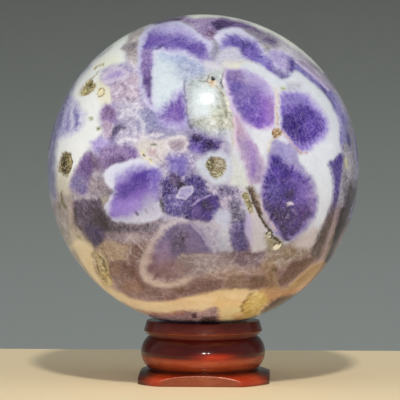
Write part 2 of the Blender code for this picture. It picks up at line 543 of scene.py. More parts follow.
def patch(outline, tone, rim=None, rim_width=2.0, fade=None, edge=0.5, ragged=0.2, mottle=0.3,
          cover=1.0, rays=0.35, veil=0.0):
    """Lays one tone of stone inside an outline.

    rim is the tone at its border, reached over rim_width; fade is (from point, to point, tone) for
    a tone that comes in across it; mottle is how unevenly the colour lies; ragged frays the edge;
    rays is how strongly fibres run from the middle to the border; veil is how strongly wisps of
    milky quartz lie over it."""
    edge = edge * SOFTNESS
    near, depth = depth_inside(smooth_path(outline, True), True, edge + ragged * 2 + 0.9)
    fibre = rays * fibres(near, outline)
    depth = depth + ragged * fleck[near] + 0.14 * edge * speckle[near] + (0.3 + 0.5 * edge) * fibre
    share = step(-edge, edge, depth)[:, None] * cover
    laid = np.tile(linear(tone), (len(near), 1))
    if fade is not None:
        start, end, other = np.array(fade[0], float), np.array(fade[1], float), linear(fade[2])
        run = end - start
        along = (plane[near] - start) @ run / (run @ run) + 0.12 * cloud[near]
        laid += (other - laid) * step(0, 1, along)[:, None]
    if rim is not None:
        reach = rim_width * SOFTNESS
        inward = step(0, reach, depth + reach * (0.22 * cloud[near] + 0.4 * fibre))[:, None]
        laid = linear(rim) * (1 - inward) + laid * inward
    unevenness = 1 + mottle * (0.8 * cloud[near] + 0.5 * fleck[near] + 0.08 * speckle[near]) + 0.3 * fibre
    laid = laid ** np.clip(unevenness, 0.3, 2.2)[:, None]
    laid += (linear("#e1dee9") - laid) * (veil * wisp[near])[:, None]
    stone[near] += (laid - stone[near]) * share
    frost[near] += (np.clip(1.7 * mottle - 0.35, 0, 1) - frost[near]) * share[:, 0]


def vein(path, tone, width=0.6, edge=0.35, ragged=0.15, cover=0.8, mottle=0.2):
    """Draws a thin line of another tone along a path."""
    near, depth = depth_inside(smooth_path(path, False), False, width + edge + 0.6)
    depth = depth + width / 2 + ragged * fleck[near] + 0.12 * speckle[near]
    share = (step(-edge, edge, depth) * np.clip(cover * (1 + 0.4 * fleck[near]), 0, 1))[:, None]
    laid = linear(tone) ** (1 + mottle * fleck[near])[:, None]
    stone[near] += (laid - stone[near]) * share


# The ground tones: milky lilac quartz, warmer towards the underside, partly stained and partly painted warm
# light from the floor below.
level = skin[:, 2] + 4.5 * swell(skin, 17.0, 21) + 1.5 * cloud
ground = [
    (-49, "#7f6662"), (-45, "#8a6f66"), (-42, "#cfbd95"), (-38, "#cfbb98"), (-35, "#8a6c62"),
    (-29, "#957d79"), (-22, "#a297a4"), (-8, "#b3adc2"), (14, "#bcb8cb"), (32, "#c3c0cd"), (44, "#c8c8cc"),
]
heights = [height for height, tone in ground]
tones = np.array([linear(tone) for height, tone in ground])
stone = np.stack([np.interp(level, heights, tones[:, k]) for k in range(3)], 1)
stone = stone ** np.clip(1 + 0.35 * (cloud + 0.6 * fleck), 0.4, 2)[:, None]

# The back, which carries the same banding: crystals of four plain outlines in pale quartz, larger
# and darker round the middle. A place is in millimetres along the skin from the back's own middle.
shield = [(0, 1), (0.42, 0.92), (0.62, 0.45), (0.5, -0.15), (0.22, -0.75), (0, -1), (-0.3, -0.7),
          (-0.55, -0.1), (-0.6, 0.5), (-0.38, 0.9)]
drop = [(0.05, 1), (0.3, 0.5), (0.52, 0), (0.48, -0.5), (0.22, -0.9), (-0.1, -1), (-0.45, -0.62),
        (-0.5, 0), (-0.25, 0.5)]
arch = [(-0.8, -0.6), (-0.78, 0.3), (-0.4, 0.8), (0.05, 0.95), (0.5, 0.8), (0.82, 0.2), (0.86, -0.55),
        (0.5, -0.3), (0.32, 0.12), (0, 0.26), (-0.34, 0.1), (-0.5, -0.4)]
wedge = [(-0.9, 0.35), (-0.3, 0.55), (0.4, 0.5), (0.95, 0.2), (0.6, -0.25), (0.05, -0.5), (-0.5, -0.35)]


def crystal(outline, at, size, turn, tone, heart, rim="#cfcbe0", rim_width=1.8):
    """Lays one crystal: a pale border, the body, and a deeper heart inside it."""
    cosine, sine = math.cos(math.radians(turn)), math.sin(math.radians(turn))

    def placed(scale):
        return [
            (at[0] + scale * (x * cosine - z * sine), at[1] + scale * (x * sine + z * cosine))
            for x, z in outline
        ]

    patch(placed(size + rim_width * 0.8), rim, mottle=0.2, edge=0.45, ragged=0.12)
    foot = (at[0] + size * sine * 0.9, at[1] - size * cosine * 0.9)
    patch(placed(size), tone, rim="#9c8fc4", rim_width=1.3, mottle=0.45, ragged=0.25,
          fade=(at, foot, heart))
    patch(placed(size * 0.55), heart, mottle=0.5, edge=1.2, cover=0.75, ragged=0.4)


plane = side_plane(FACE_TURN + 180, 0)
patch([(-40, -20), (-20, -12), (10, -18), (36, -10), (60, -20), (60, -44), (20, -50), (-20, -48),
       (-60, -40)], "#957b74", mottle=0.4, edge=2.5, ragged=0.8)
patch([(-66, -36), (-30, -40), (0, -44), (40, -40), (70, -34), (70, -42), (34, -50), (0, -54), (-34, -50),
       (-70, -44)], "#cdb184", mottle=0.25, edge=1.2, ragged=0.4)
patch([(-30, 40), (-8, 30), (14, 34), (34, 20), (46, 30), (20, 50), (-20, 52)], "#d3d5dc", mottle=0.2,
      edge=1.5)
patch([(-50, 10), (-34, 14), (-22, 4), (-26, -12), (-44, -16), (-56, -4)], "#cfd2da", mottle=0.2, edge=1.4)
patch([(8, 6), (22, 12), (34, 4), (30, -10), (14, -14), (4, -6)], "#b4a3ba", mottle=0.5, edge=1.2)
crystal(shield, (-2, 16), 17, 8, "#6c57a5", "#4c3882")
crystal(drop, (24, 24), 14, -30, "#7a68b0", "#5a4798")
crystal(arch, (-27, 24), 13, 20, "#7d66ab", "#5f4d98")
crystal(shield, (-26, -6), 13, -25, "#62509b", "#46337a")
crystal(drop, (6, -12), 13, 14, "#584593", "#3d2a6c", rim="#c3bdd4")
crystal(wedge, (28, -2), 14, 24, "#8876b4", "#6a58a2")
crystal(drop, (46, 10), 13, 38, "#6d5aa6", "#4a3780")
crystal(shield, (-50, 12), 12, 40, "#8272b2", "#5c4a96")
crystal(wedge, (-10, -30), 13, -8, "#7d6a8c", "#5f4f7a", rim="#b8a69f")
crystal(arch, (22, -28), 11, -14, "#77658e", "#5a4a78", rim="#b8a69f")
crystal(shield, (48, -16), 12, 20, "#5e4d97", "#402e70")
crystal(drop, (-46, -22), 12, -18, "#705f93", "#51417a", rim="#bcb2bd")
crystal(wedge, (6, 42), 12, 10, "#8d80b4", "#6a5a9c")
crystal(drop, (40, 38), 11, -60, "#7466a6", "#56478c")
crystal(shield, (-36, 44), 11, 50, "#8677b0", "#6150a0")
vein([(-38, 34), (-24, 38), (-10, 34), (2, 36)], "#c6b8d4", 0.9)
vein([(-16, -2), (-8, -6), (-6, -18), (-12, -24)], "#54463f", 0.8, ragged=0.35)
vein([(34, 16), (36, 4), (40, -6), (38, -18)], "#d6c8b4", 0.9)
vein([(-60, -30), (-30, -34), (0, -38), (40, -34), (66, -28)], "#7a564b", 1.6, 0.7, ragged=0.5)
vein([(10, 28), (14, 20), (13, 8)], "#dcd6e6", 0.8)
patch([(14, 2), (17, 4), (19, 1), (16, -2)], "#968b66", mottle=0.8, ragged=0.5)

plane = side_plane(FACE_TURN, 90)
patch([(-20, -22), (-4, -26), (16, -20), (26, 0), (16, 20), (-6, 26), (-24, 14)], "#c2c0cd", mottle=0.35,
      edge=1.5)
crystal(drop, (-6, 8), 12, 60, "#7a68a8", "#5b4a92")
crystal(wedge, (12, 6), 11, -30, "#8a7cb4", "#6a5aa0")
crystal(shield, (6, -12), 9, 100, "#7b69a6", "#594890")
vein([(-22, -4), (-10, -8), (0, -4), (8, -6), (20, -14)], "#8d7a86", 0.8, ragged=0.4)

# The side that the photograph looks at, from its ground tones to its crystals. All points are
# millimetres right of and above the ball's middle, as seen from half a metre off.
plane = side_plane(FACE_TURN, FACE_DIP, FACE_DISTANCE)
patch([(-52, 22), (-40, 36), (-24, 48), (-19, 40), (-21, 30), (-28, 20), (-33, 8), (-40, -8), (-52, -8)],
      "#cbcdd6", mottle=0.2, edge=1.5)
patch([(-33, 33), (-20, 33), (-12, 14), (-20, 6), (-30, 4), (-36, 8), (-31, 18)], "#a69cbe", mottle=0.5,
      edge=1.5, veil=0.75)
patch([(-20, 18), (10, 18), (12, -15), (-2, -20), (-14, -17), (-14, 2), (-22, 6)], "#a6a1bb", mottle=0.4,
      edge=1.5)
patch([(2, 36), (22, 36), (44, 18), (42, -14), (27, -26), (14, -24), (11, 0), (6, 14)], "#cdd0db",
      mottle=0.15, edge=1.2)
patch([(-44, -6), (-30, -12), (-12, -17), (12, -20), (26, -25), (43, -12), (48, -26), (30, -52), (-30, -52),
       (-50, -26)], "#8f757c", edge=1.5)
patch([(-20, 48), (-4, 42), (4, 41), (24, 40), (40, 27), (52, 22), (40, 44), (4, 60), (-24, 56)], "#9b93a6",
      mottle=0.4, edge=1.5)

# Left edge: bluish streaks, then a broad white band with brown crusted pockets in it.
patch([(-60, 26), (-45, 25), (-41, 24), (-39, 20), (-37, 18.5), (-38, 14), (-40, 11.3), (-43, 10), (-47, 8),
       (-60, 8)], "#b2afd0", rim="#cdccdf", rim_width=1.5, mottle=0.5, edge=0.9, ragged=0.4)
vein([(-40.5, 18.4), (-39.8, 15.5), (-40.2, 13)], "#837eb0", 1.2, 0.6, ragged=0.4)
vein([(-44.5, 20), (-44.8, 17), (-45.4, 13.6)], "#75719f", 1.0, 0.6, ragged=0.4)
vein([(-42.3, 18), (-42.8, 15), (-43.2, 12.6)], "#9994bf", 0.9, 0.6, ragged=0.4)
vein([(-41.4, 21), (-41.6, 17), (-41.2, 14)], "#dcdbe6", 0.7, 0.5, ragged=0.5, cover=0.6)
patch([(-60, 34), (-43, 31), (-41, 27), (-43, 23.5), (-47, 17), (-60, 20)], "#77749a", mottle=0.4, edge=1.2)
patch([(-38.3, 29.5), (-33, 35.5), (-27, 41.5), (-23, 44), (-22.5, 41), (-25.5, 38.2), (-24.5, 34.5),
       (-29, 33.8), (-32.5, 31), (-32, 27), (-29.5, 25.5), (-29, 22), (-32, 20.5), (-33.3, 16),
       (-31.5, 12.5), (-34, 9.5), (-37, 5.5), (-39, 1.5), (-40.5, -2), (-42.5, -6), (-46.5, -7.5), (-47, 2),
       (-46, 9), (-42, 10.8), (-38, 13.5), (-37, 18), (-39.5, 21.5), (-41, 25)], "#e4e6e6", fade=((-40, 4),
      (-44, -6), "#cfcabc"), mottle=0.12, edge=0.7, ragged=0.15)
patch([(-34, 33.5), (-30, 36), (-26, 36), (-27, 33.8), (-31, 32.5)], "#e4e5d8", mottle=0.1, cover=0.8,
      edge=0.8)
patch([(-33, 29), (-30, 27), (-28.5, 23), (-30, 20.5), (-33, 22), (-34, 26)], "#dedac6", mottle=0.1,
      cover=0.8, edge=0.8)
vein([(-32.5, 36), (-30.5, 37.6), (-29, 39)], "#9b9c9c", 0.5, 0.4, cover=0.6)
# Grey-blue along the left edge: partly quartz, partly painted shade and dark reflection where the edge
# turns away.
patch([(-60, 38), (-37, 34), (-40, 29.4), (-42.6, 23), (-45.2, 16), (-46.3, 9), (-46.7, 2), (-46.6, -4),
       (-47.2, -9), (-60, -10)], "#8484a4", mottle=0.35, edge=0.9, cover=0.9, fade=((-46, 6), (-41, 28),
      "#8a8da8"))
patch([(-25.8, 38.4), (-24.3, 40.4), (-23, 43.5), (-20.5, 46.5), (-18.5, 44.5), (-20, 41), (-20.3, 36),
       (-20, 32), (-22, 32.8), (-24, 34.6), (-24.6, 37.2)], "#b3abae", mottle=0.5, edge=0.6,
      fade=((-22, 37), (-23, 33), "#c6bec4"))
patch([(-25.6, 38.6), (-24, 40.2), (-21.2, 40.4), (-20.8, 38.8), (-23, 38)], "#7d757f", mottle=0.5,
      cover=0.7)

# Upper left: mauve quartz, veined and mottled, with small purple crystals.
patch([(-32, 28), (-31, 31), (-28, 33), (-25.3, 32.3), (-23.3, 30.5), (-25, 29.3), (-27.5, 28),
       (-30.5, 27.4)], "#b0a0cd", rim="#cfc6d8", rim_width=1.4)
patch([(-28.8, 26.4), (-25.5, 28.6), (-20.6, 31), (-20.4, 22), (-23, 20.6), (-27, 21.6), (-29, 23.6)],
      "#b9a9bd", mottle=0.55, edge=0.6, ragged=0.4, veil=0.4)
vein([(-28.3, 27.4), (-27, 27.8), (-25.5, 26.8), (-24.5, 25), (-25.4, 23.4), (-27.3, 22.8), (-28.6, 24)],
     "#8b7791", 0.7, 0.4, cover=0.35)
vein([(-24.6, 27.6), (-22.5, 26.2), (-21.4, 24.4)], "#e0d6e2", 0.6, 0.4, cover=0.7)
vein([(-24, 22.4), (-22.8, 21.6), (-21.6, 22.8)], "#6b5560", 0.8, 0.4)
vein([(-27.3, 20.8), (-26.6, 19.6)], "#7c6a78", 0.6, 0.4, cover=0.6)
patch([(-31, 20.6), (-28.5, 20.4), (-27, 18.6), (-27.4, 15.8), (-29.5, 15), (-32, 15.8), (-32.4, 18.2)],
      "#8d769c", rim="#a48fb6", rim_width=1.0, mottle=0.4, fade=((-30, 18), (-30, 14), "#a08fc0"))
patch([(-27, 21), (-20, 22), (-18, 14), (-20, 9), (-27, 9.5), (-26, 14)], "#bcb8ca", mottle=0.5, edge=1.4,
      cover=0.8, veil=0.6)
patch([(-19.4, 19), (-16, 19.6), (-13.4, 17), (-15, 13), (-19, 12.4), (-21, 15.4)], "#8287b2", mottle=0.6,
      edge=1.2, cover=0.55, ragged=0.6)
vein([(-27, 8.6), (-23.6, 10), (-20.6, 9.4), (-17, 10.8), (-13, 11.4)], "#e4e1e8", 1.0, 0.5, ragged=0.5,
     cover=0.7)
vein([(-23.6, 17.6), (-20.4, 16.6), (-18.6, 13.4), (-19.4, 10.6)], "#e4e1e8", 0.8, 0.5, ragged=0.5,
     cover=0.6)
vein([(-25.6, 14.6), (-23, 13.4), (-22.4, 11)], "#7f86a8", 0.7, 0.5, ragged=0.5, cover=0.5)
patch([(-31.5, 15.5), (-29, 15), (-28.4, 11.5), (-30.2, 10), (-31.6, 12)], "#b6a4ba", mottle=0.5, edge=0.6)
patch([(-28.8, 11.4), (-28.1, 13.6), (-26.6, 14.2), (-24.8, 13.8), (-24.2, 13), (-26.4, 12.8),
       (-27.2, 11.2), (-28, 10.8)], "#4f4266", mottle=0.4, edge=0.4, cover=0.9)
patch([(-29.6, 11), (-28.2, 11), (-27.8, 9.8), (-29.2, 9.4)], "#786a92", cover=0.8)

# The arch crystal at the top left: a purple arch over a pale patch, inside a milky rim.
patch([(-20.4, 40), (-18.6, 44), (-14.5, 46.6), (-9, 47.1), (-5, 46), (-1.5, 43.7), (1.5, 41.5), (4, 38.5),
       (5, 34.5), (2.5, 31), (-4, 27.5), (-6, 24.5), (-5, 14.5), (-12, 14), (-15, 17.8), (-18.2, 21.5),
       (-20, 27), (-20.6, 33)], "#c6c3df", mottle=0.2, edge=0.4, ragged=0.1)
patch([(-19.3, 39.5), (-17.6, 43.4), (-13.9, 45.7), (-9, 46.3), (-5.2, 45.1), (-3, 43.2), (0, 41),
       (1.8, 38.5), (3.4, 34.5), (2.4, 32.2), (0.4, 33.6), (-3, 36.2), (-6, 37.4), (-11, 37.7),
       (-15.4, 38.2), (-15.7, 34), (-16, 30.5), (-16.3, 27.5), (-16.3, 24.5), (-15.6, 20.2), (-17.2, 21.8),
       (-18.9, 26), (-19.5, 31.5), (-19.4, 36)], "#745eaa", rim="#b6aed4", rim_width=0.9, mottle=0.35,
      fade=((-10, 40), (-9, 45.5), "#b8b0da"))
patch([(-19.3, 37.5), (-16, 38), (-15.9, 30), (-16.6, 25), (-16, 21), (-18.6, 25), (-19.4, 31)], "#9a86b4",
      mottle=0.5, cover=0.75, fade=((-17.5, 34), (-18, 27), "#6a5486"))
vein([(-15.6, 38.2), (-14, 38.7), (-12.3, 39.6)], "#56448c", 0.7, 0.45, cover=0.75)
patch([(-10.5, 41.5), (-8, 42.6), (-5.6, 42), (-6, 39.5), (-9, 39)], "#634da0", mottle=0.4, edge=1.1,
      cover=0.6)
patch([(-5.2, 39.2), (-2.8, 39.6), (0, 37.8), (-0.2, 35.6), (-3.6, 37)], "#5c4899", mottle=0.5, edge=0.9,
      cover=0.65)
patch([(0, 37), (1.8, 36.6), (3.6, 33.4), (2, 32.4), (0.2, 34)], "#a294c6", edge=0.8, cover=0.8)
patch([(-15.4, 37.9), (-11, 37.4), (-6, 36.6), (-2.5, 35.2), (0.6, 33), (1.2, 31.2), (-1.5, 29.4), (-4, 28),
       (-6, 26.2), (-8.2, 24.2), (-10.2, 21.4), (-12.6, 19.2), (-14.8, 18.2), (-15.6, 20.4), (-16.3, 23.2),
       (-16.3, 26), (-15.8, 28.6), (-16.2, 30), (-15.7, 33), (-15.5, 36)], "#d0d9e2", rim="#cfd0e2",
      rim_width=1.0, mottle=0.25, edge=0.35, ragged=0.08, fade=((-11, 32), (-8, 38), "#a3aed4"))
patch([(-6, 36), (0.5, 33), (-1.5, 29.6), (-6, 27.5), (-8.5, 31)], "#a7adc9", mottle=0.5, edge=1.6,
      cover=0.75)
patch([(-8.4, 24.6), (-6.2, 24.6), (-5.4, 20), (-4.7, 16), (-5.6, 13.4), (-9, 12.8), (-12.6, 13.4),
       (-14.6, 15.4), (-14.2, 18), (-12.4, 20.4), (-10, 22.8)], "#7b64aa", rim="#a9a5cf", rim_width=1.6,
      mottle=0.4, edge=1.2, ragged=0.35, rays=0.5, fade=((-9, 18), (-9, 13), "#bfb3dc"))
patch([(-8.4, 22), (-6.4, 22.6), (-5.8, 18), (-7.4, 16), (-10, 17.4)], "#7f62ae", edge=1.2, cover=0.7)
vein([(-6, 28.5), (-5.9, 23), (-5.3, 19), (-4.6, 15.5), (-2.9, 12.6)], "#59546d", 0.6, 0.4, ragged=0.5,
     cover=0.75)

# Upper middle: a milky patch with a small bored hole, brown cracks and greenish specks.
patch([(-5, 28), (-1.5, 29.5), (1.5, 31.5), (6.5, 32), (6.4, 26.5), (8, 22), (9.6, 17), (9.4, 12.5),
       (4, 11.4), (-1.5, 13), (-4, 16.5), (-5, 22)], "#b6bcc0", mottle=0.6, edge=0.9, ragged=0.4)
# Blue-white round the highlight: partly milky stone, partly a painted glow round the highlight.
patch([(-2.5, 26), (2, 27), (5, 24), (5.5, 19), (2, 15.5), (-2, 17.5), (-3.4, 22)], "#dfe8ec", edge=1.6,
      cover=0.85)
patch([(3, 20), (7, 21), (9.3, 17), (8.6, 14), (4.5, 14.5), (2, 16.5)], "#b3b69c", mottle=0.7, edge=1.2,
      cover=0.6, ragged=0.6)
patch([(2.6, 38.5), (4.6, 42), (6.2, 40), (6.6, 36.6), (4.6, 34), (2.6, 34.6)], "#8c889c", mottle=0.4,
      edge=0.8, cover=0.85)
patch([(1, 34.5), (5, 34), (7, 32.4), (3, 31.4), (0.6, 32.6)], "#cfccd8", mottle=0.2, edge=0.7)
patch([(1.6, 28.3), (3.2, 28.9), (4.4, 27.6), (3.8, 26.4), (2, 26.6)], "#d5c7b2", mottle=0.4, edge=0.4)
vein([(1.5, 29.9), (1.3, 28.6), (1.8, 27.4), (2.9, 27.8), (2.4, 28.4)], "#97704f", 0.35, 0.3, cover=0.6)
vein([(-0.8, 28.3), (0.8, 28), (1.6, 29.4), (1.9, 30.4)], "#8b8a72", 0.45, 0.3, cover=0.6)
patch([(4.6, 25.4), (6.6, 23.6), (8.8, 19), (9.6, 15.4), (7.4, 13.8), (6.4, 18), (5, 21.8)], "#a9a898",
      mottle=1.0, edge=0.9, cover=0.6, ragged=0.8)
patch([(-2.8, 16), (3, 16.8), (8.4, 16.4), (9, 13.8), (3, 13), (-2, 14)], "#b5b4a2", mottle=1.0, edge=0.9,
      cover=0.5, ragged=0.8)
vein([(3.8, 27.2), (5.2, 25.4), (6.3, 24.2), (7.6, 21.6), (8.8, 18.6)], "#dbd9cc", 0.7, 0.35, ragged=0.4,
     cover=0.9)
vein([(4.2, 26.6), (5.5, 24.9), (6.6, 23.3)], "#6f6a58", 0.4, 0.3, cover=0.7)
vein([(7, 31.6), (6.2, 30), (5.7, 28.2), (5.9, 26.4)], "#77676b", 0.6, 0.35, cover=0.85)
vein([(6.5, 29.5), (6.4, 27.4), (6.9, 25.4)], "#e3dbe6", 0.5, 0.35)

# Top: brown-mauve quartz with a dark streak, thinning to a white edge.
patch([(-7, 48.5), (-5, 46.8), (-1, 43.8), (1.5, 41.4), (4.2, 41.3), (5.2, 43.2), (4.6, 45), (11, 45.3),
       (14, 45), (12, 47), (5, 48.3), (-2, 48.4)], "#9f8cb4", mottle=0.6, edge=0.6, ragged=0.4)
patch([(1, 43.8), (3.4, 44.4), (4.4, 42.4), (2.6, 41.6), (1, 42.4)], "#7d6280", mottle=0.5, edge=0.6,
      cover=0.8)
patch([(2.8, 46.2), (5, 47.8), (10, 47.4), (14.6, 45.9), (19, 43.6), (18, 43), (14, 44.4), (10, 44.9),
       (7, 44.6), (4, 44)], "#725d90", mottle=0.5, ragged=0.3)
patch([(4.2, 46.6), (6.4, 47.4), (10, 47), (12, 46.2), (9, 45.8), (6, 45.2)], "#50396f", mottle=0.4,
      cover=0.85)
patch([(3.8, 46.6), (5, 46), (6.4, 45.2), (4.2, 44.7)], "#33234a", edge=0.4, cover=0.8)
patch([(-16, 46.6), (-11, 48), (-6.5, 48.4), (-7, 47.3), (-11, 47), (-14, 46.2)], "#5d4a70", mottle=0.4,
      edge=0.4)
patch([(-6, 52), (-5, 48.6), (0, 48.2), (6, 48.2), (10, 47.5), (14, 46.6), (18, 44.6), (22, 43), (26, 40.4),
       (33, 35.5), (36.4, 32.4), (39.4, 31), (50, 36), (44, 44), (24, 56), (0, 62)], "#efefec", mottle=0.2,
      ragged=0.15)

# Upper right: a chain of dark crystals under a scalloped white rim, then thin stripes along the edge.
patch([(3.6, 42), (5, 43.8), (8, 45), (11.5, 44.9), (15, 43.2), (18, 40.6), (19.6, 37.8), (21, 36.6),
       (24, 38), (27, 37), (29.4, 35), (30, 33.4), (28, 31), (20, 33), (12, 36), (6, 39)], "#ccc9df",
      mottle=0.2, edge=0.45, ragged=0.12)
patch([(5.4, 40.4), (6.6, 42.6), (9.6, 43), (13.5, 42), (16.8, 41), (18.2, 38.8), (20, 36.6), (22.4, 35.2),
       (22.8, 33.4), (25, 31.6), (27.6, 30.2), (26.8, 28.8), (24, 28.8), (21.6, 30.2), (19.4, 31.8),
       (16, 32.6), (14, 34), (11.8, 35.2), (11.2, 37.2), (9.6, 38.4), (6.4, 37.8), (5, 38.6)], "#7260ad",
      rim="#a097c6", rim_width=1.3, mottle=0.4, edge=0.6, ragged=0.3, rays=0.5)
patch([(8.5, 41.3), (10.8, 41.2), (10.8, 38.9), (8.8, 38.9)], "#5a4a96", mottle=0.4, edge=0.9, cover=0.7)
patch([(11.8, 40.4), (15.4, 40), (13.6, 38.6), (13, 36), (12, 37)], "#4e3d82", mottle=0.5, edge=0.7,
      cover=0.8)
patch([(16.6, 35.4), (19.6, 35.6), (20.4, 33.4), (17.8, 33.6)], "#988fca", edge=1.0, cover=0.8)
patch([(22, 32.6), (25, 31), (27.6, 29.6), (25, 28.8), (22.6, 30.6)], "#716a94", mottle=0.6, edge=0.7,
      cover=0.8)
patch([(21, 37.6), (24.6, 37.4), (27.6, 35.8), (29.4, 34), (29.6, 32), (28, 31), (25.6, 31.8),
       (22.8, 33.6)], "#b0a6ce", mottle=0.4, edge=0.6, fade=((25.5, 34), (28.4, 33), "#5c4a90"))
patch([(5, 37), (7.4, 38.6), (10, 38.4), (11.5, 37.4), (12.4, 35.6), (16, 34), (16, 31.5), (8, 32),
       (4.4, 34)], "#c4c2d2", edge=0.9, ragged=0.4)
patch([(7, 33.5), (12, 34.2), (17, 32.8), (15, 31.6), (9, 31.8)], "#dcdbc8", mottle=0.15, edge=1.1,
      cover=0.85)
patch([(13, 44.6), (16, 44.2), (20, 42.6), (23.5, 41), (24, 39), (21, 38.6), (19, 39.6), (16, 42.2)],
      "#928b9d", mottle=0.4, edge=0.6)
patch([(18.8, 41.4), (20.4, 42), (22.6, 41.2), (22.8, 40), (20.4, 40.4)], "#5a4978", mottle=0.4, edge=0.6,
      cover=0.9)
patch([(19, 39.4), (21, 39.6), (21, 38), (19.6, 37.8)], "#8e8b8a", mottle=0.4, cover=0.8)
patch([(29.6, 34.6), (33, 34), (36, 30.6), (40, 26), (43, 21), (45, 15), (42.5, 20), (38.5, 25.5),
       (34, 30)], "#a99fb6", mottle=0.35)
patch([(28.6, 32), (30, 33.6), (32, 31.8), (36.6, 28.6), (41.4, 24.6), (44.8, 19), (47.4, 12), (46.4, 5),
       (44.4, 5), (43, 10), (42.5, 15), (40, 20), (36.4, 25.4), (32, 29.4)], "#8781b6", mottle=0.45,
      edge=0.45, ragged=0.25)
patch([(36.6, 26.6), (38.4, 25.6), (41.6, 20.6), (40.8, 20), (37.6, 24.2)], "#564e88", mottle=0.4,
      cover=0.8)
vein([(29.2, 34.4), (32.4, 31.9), (36.2, 28.6), (39.6, 25.4)], "#cbbfdd", 0.7, 0.35, cover=0.9)
vein([(40.4, 25.6), (43.6, 20.4), (46, 15)], "#a9a4c6", 0.6, 0.4, ragged=0.4, cover=0.7)
patch([(43, 17), (45.6, 13), (45.4, 8), (44, 8), (43, 12)], "#9391ba", mottle=0.5, edge=0.6, cover=0.85)
patch([(45.6, 14), (46.8, 12), (46.4, 7.4), (45.4, 6.4), (45.6, 10)], "#4b4470")
patch([(45.6, 16), (60, 20), (60, -6), (47.4, -5), (47, 2), (46.6, 9)], "#908ea6", mottle=0.4, edge=0.7,
      cover=0.9)
vein([(46.4, 15), (47.3, 9), (47.6, 2)], "#8f8b96", 0.7, 0.4, cover=0.7)

# Right: the broad white band that wraps round the two large crystals.
patch([(11.5, 32), (16, 34), (20, 31.8), (24.5, 28.8), (27.6, 29.6), (28.6, 31.4), (30.6, 30.8), (34, 28),
       (38.4, 24.2), (41.2, 19.4), (42.8, 15), (42.9, 11), (42.3, 7), (42, 4.8), (39.8, 2.6), (40.1, -1),
       (41, -5), (40.5, -10), (39, -15), (37.4, -19.4), (34, -24), (28.6, -24), (30, -20), (36, -12),
       (36, -4), (30, 4), (24, 12), (22.6, 20), (20, 27)], "#d3d7df", mottle=0.14, ragged=0.1,
      fade=((35, -17), (31, -24), "#bdb0b2"))
patch([(26.6, 27.4), (30.4, 27.6), (31, 25.6), (27.4, 25.2)], "#b5b3c3", edge=0.9, cover=0.8)
patch([(24.2, 26.4), (25.6, 26.8), (26.2, 26), (24.8, 25.4)], "#b4b687", mottle=0.4, cover=0.9)
patch([(16.2, 13.5), (21.6, 13.8), (22, 10.6), (20, 6.8), (18.6, 4.6), (17.2, 7.6), (16.2, 10.6)],
      "#d7d9e0", mottle=0.15)
patch([(9.2, 5.4), (11.6, 3.4), (13.8, -1.4), (15, -5), (12, -7.5), (8.6, -4), (8.4, 1)], "#cdd0d0",
      edge=1.0)

# The crystal in the upper middle, a shield with a pink-white border.
patch([(6.6, 31), (8, 32), (12.4, 32), (16.4, 30.4), (20, 28), (22, 25.4), (23, 21), (23.2, 16.5),
       (22.2, 13.2), (17, 12.8), (13, 14.2), (10, 17.6), (8.2, 21.6), (6.8, 26)], "#cdc0dc", mottle=0.15,
      edge=0.4, ragged=0.08)
patch([(7.2, 29.6), (8.4, 31.2), (12, 31.2), (16, 29.6), (19.6, 27), (21.2, 24.6), (22.2, 21), (22.4, 17),
       (21.6, 14.2), (17.4, 13.6), (14.6, 14.6), (12.6, 16.2), (10, 20.6), (8, 24.8), (7.2, 27)], "#8575b0",
      edge=0.55, fade=((13, 22), (21, 19), "#9674c2"))
patch([(7.6, 30), (9, 31.2), (13, 31), (17, 29), (16, 27.4), (11, 28)], "#917caa", mottle=0.4, edge=1.0,
      cover=0.8)
patch([(13, 31.4), (17, 29.8), (20, 27.6), (22, 24.4), (20.4, 23), (17.4, 26.4), (13, 29)], "#b9b0d6",
      mottle=0.2, edge=1.3, cover=0.85)
patch([(12.6, 19.4), (16, 20), (19.6, 17.4), (17.6, 14.6), (14.6, 15.6)], "#6a4ea8", mottle=0.4, edge=1.2,
      cover=0.7)
vein([(16.4, 18.2), (17, 17.6)], "#b9a3dc", 0.6, 0.35)
patch([(20.4, 23), (22, 22), (22.4, 17), (21.4, 15), (20.4, 18)], "#a285ba", edge=0.8, cover=0.75)
patch([(9, 27.6), (12, 27.8), (13, 25.6), (9.4, 25)], "#6f63a8", edge=0.9, cover=0.7)
patch([(12.4, 22.6), (16, 24), (17.4, 20), (14, 18.6), (12, 20)], "#6b57a9", mottle=0.5, edge=1.0,
      cover=0.6)
vein([(23.2, 25.6), (23.3, 20), (23.2, 15.5), (24.4, 12)], "#d9d0cf", 1.1, 0.5, cover=0.9)
vein([(23.6, 24), (23.5, 20), (23.6, 16), (24.2, 13)], "#b39c8c", 0.3, 0.3, ragged=0.4, cover=0.7)

# The crystal at its right, dark and blunt, pointing down.
patch([(24.2, 23), (25.5, 25), (29, 25.2), (33, 24.2), (36.6, 20.6), (39.2, 16.8), (39.8, 12.8),
       (37.4, 8.8), (33.6, 6.2), (31, 5.4), (28.6, 7.2), (26.4, 10), (25, 12.4), (24.4, 17)], "#b9b1d8",
      mottle=0.2, edge=0.6)
patch([(24.6, 22.6), (26.4, 24.2), (30, 24.2), (33, 22.6), (35.6, 19.8), (38.2, 16.6), (38.8, 13),
       (36.6, 9.6), (33.4, 7), (31.2, 6.2), (29.2, 7.6), (27, 10.4), (25.4, 12.6), (24.9, 17)], "#5b4597",
      rim="#8f7dc4", rim_width=1.6, mottle=0.5, ragged=0.25)
patch([(25, 23), (27.4, 24.2), (31.6, 23.4), (33.4, 21), (30, 20.6), (26, 20.6)], "#9387c2", edge=1.0,
      cover=0.8)
patch([(25.4, 16.6), (29, 18), (32.4, 16.4), (30, 12.6), (29.6, 9), (26.6, 11.4)], "#48337f", mottle=0.5,
      edge=1.0, cover=0.8)
patch([(34, 18), (36, 16), (36.4, 12), (33.6, 12), (32.6, 15)], "#6a50ab", mottle=0.5, edge=1.0, cover=0.7)
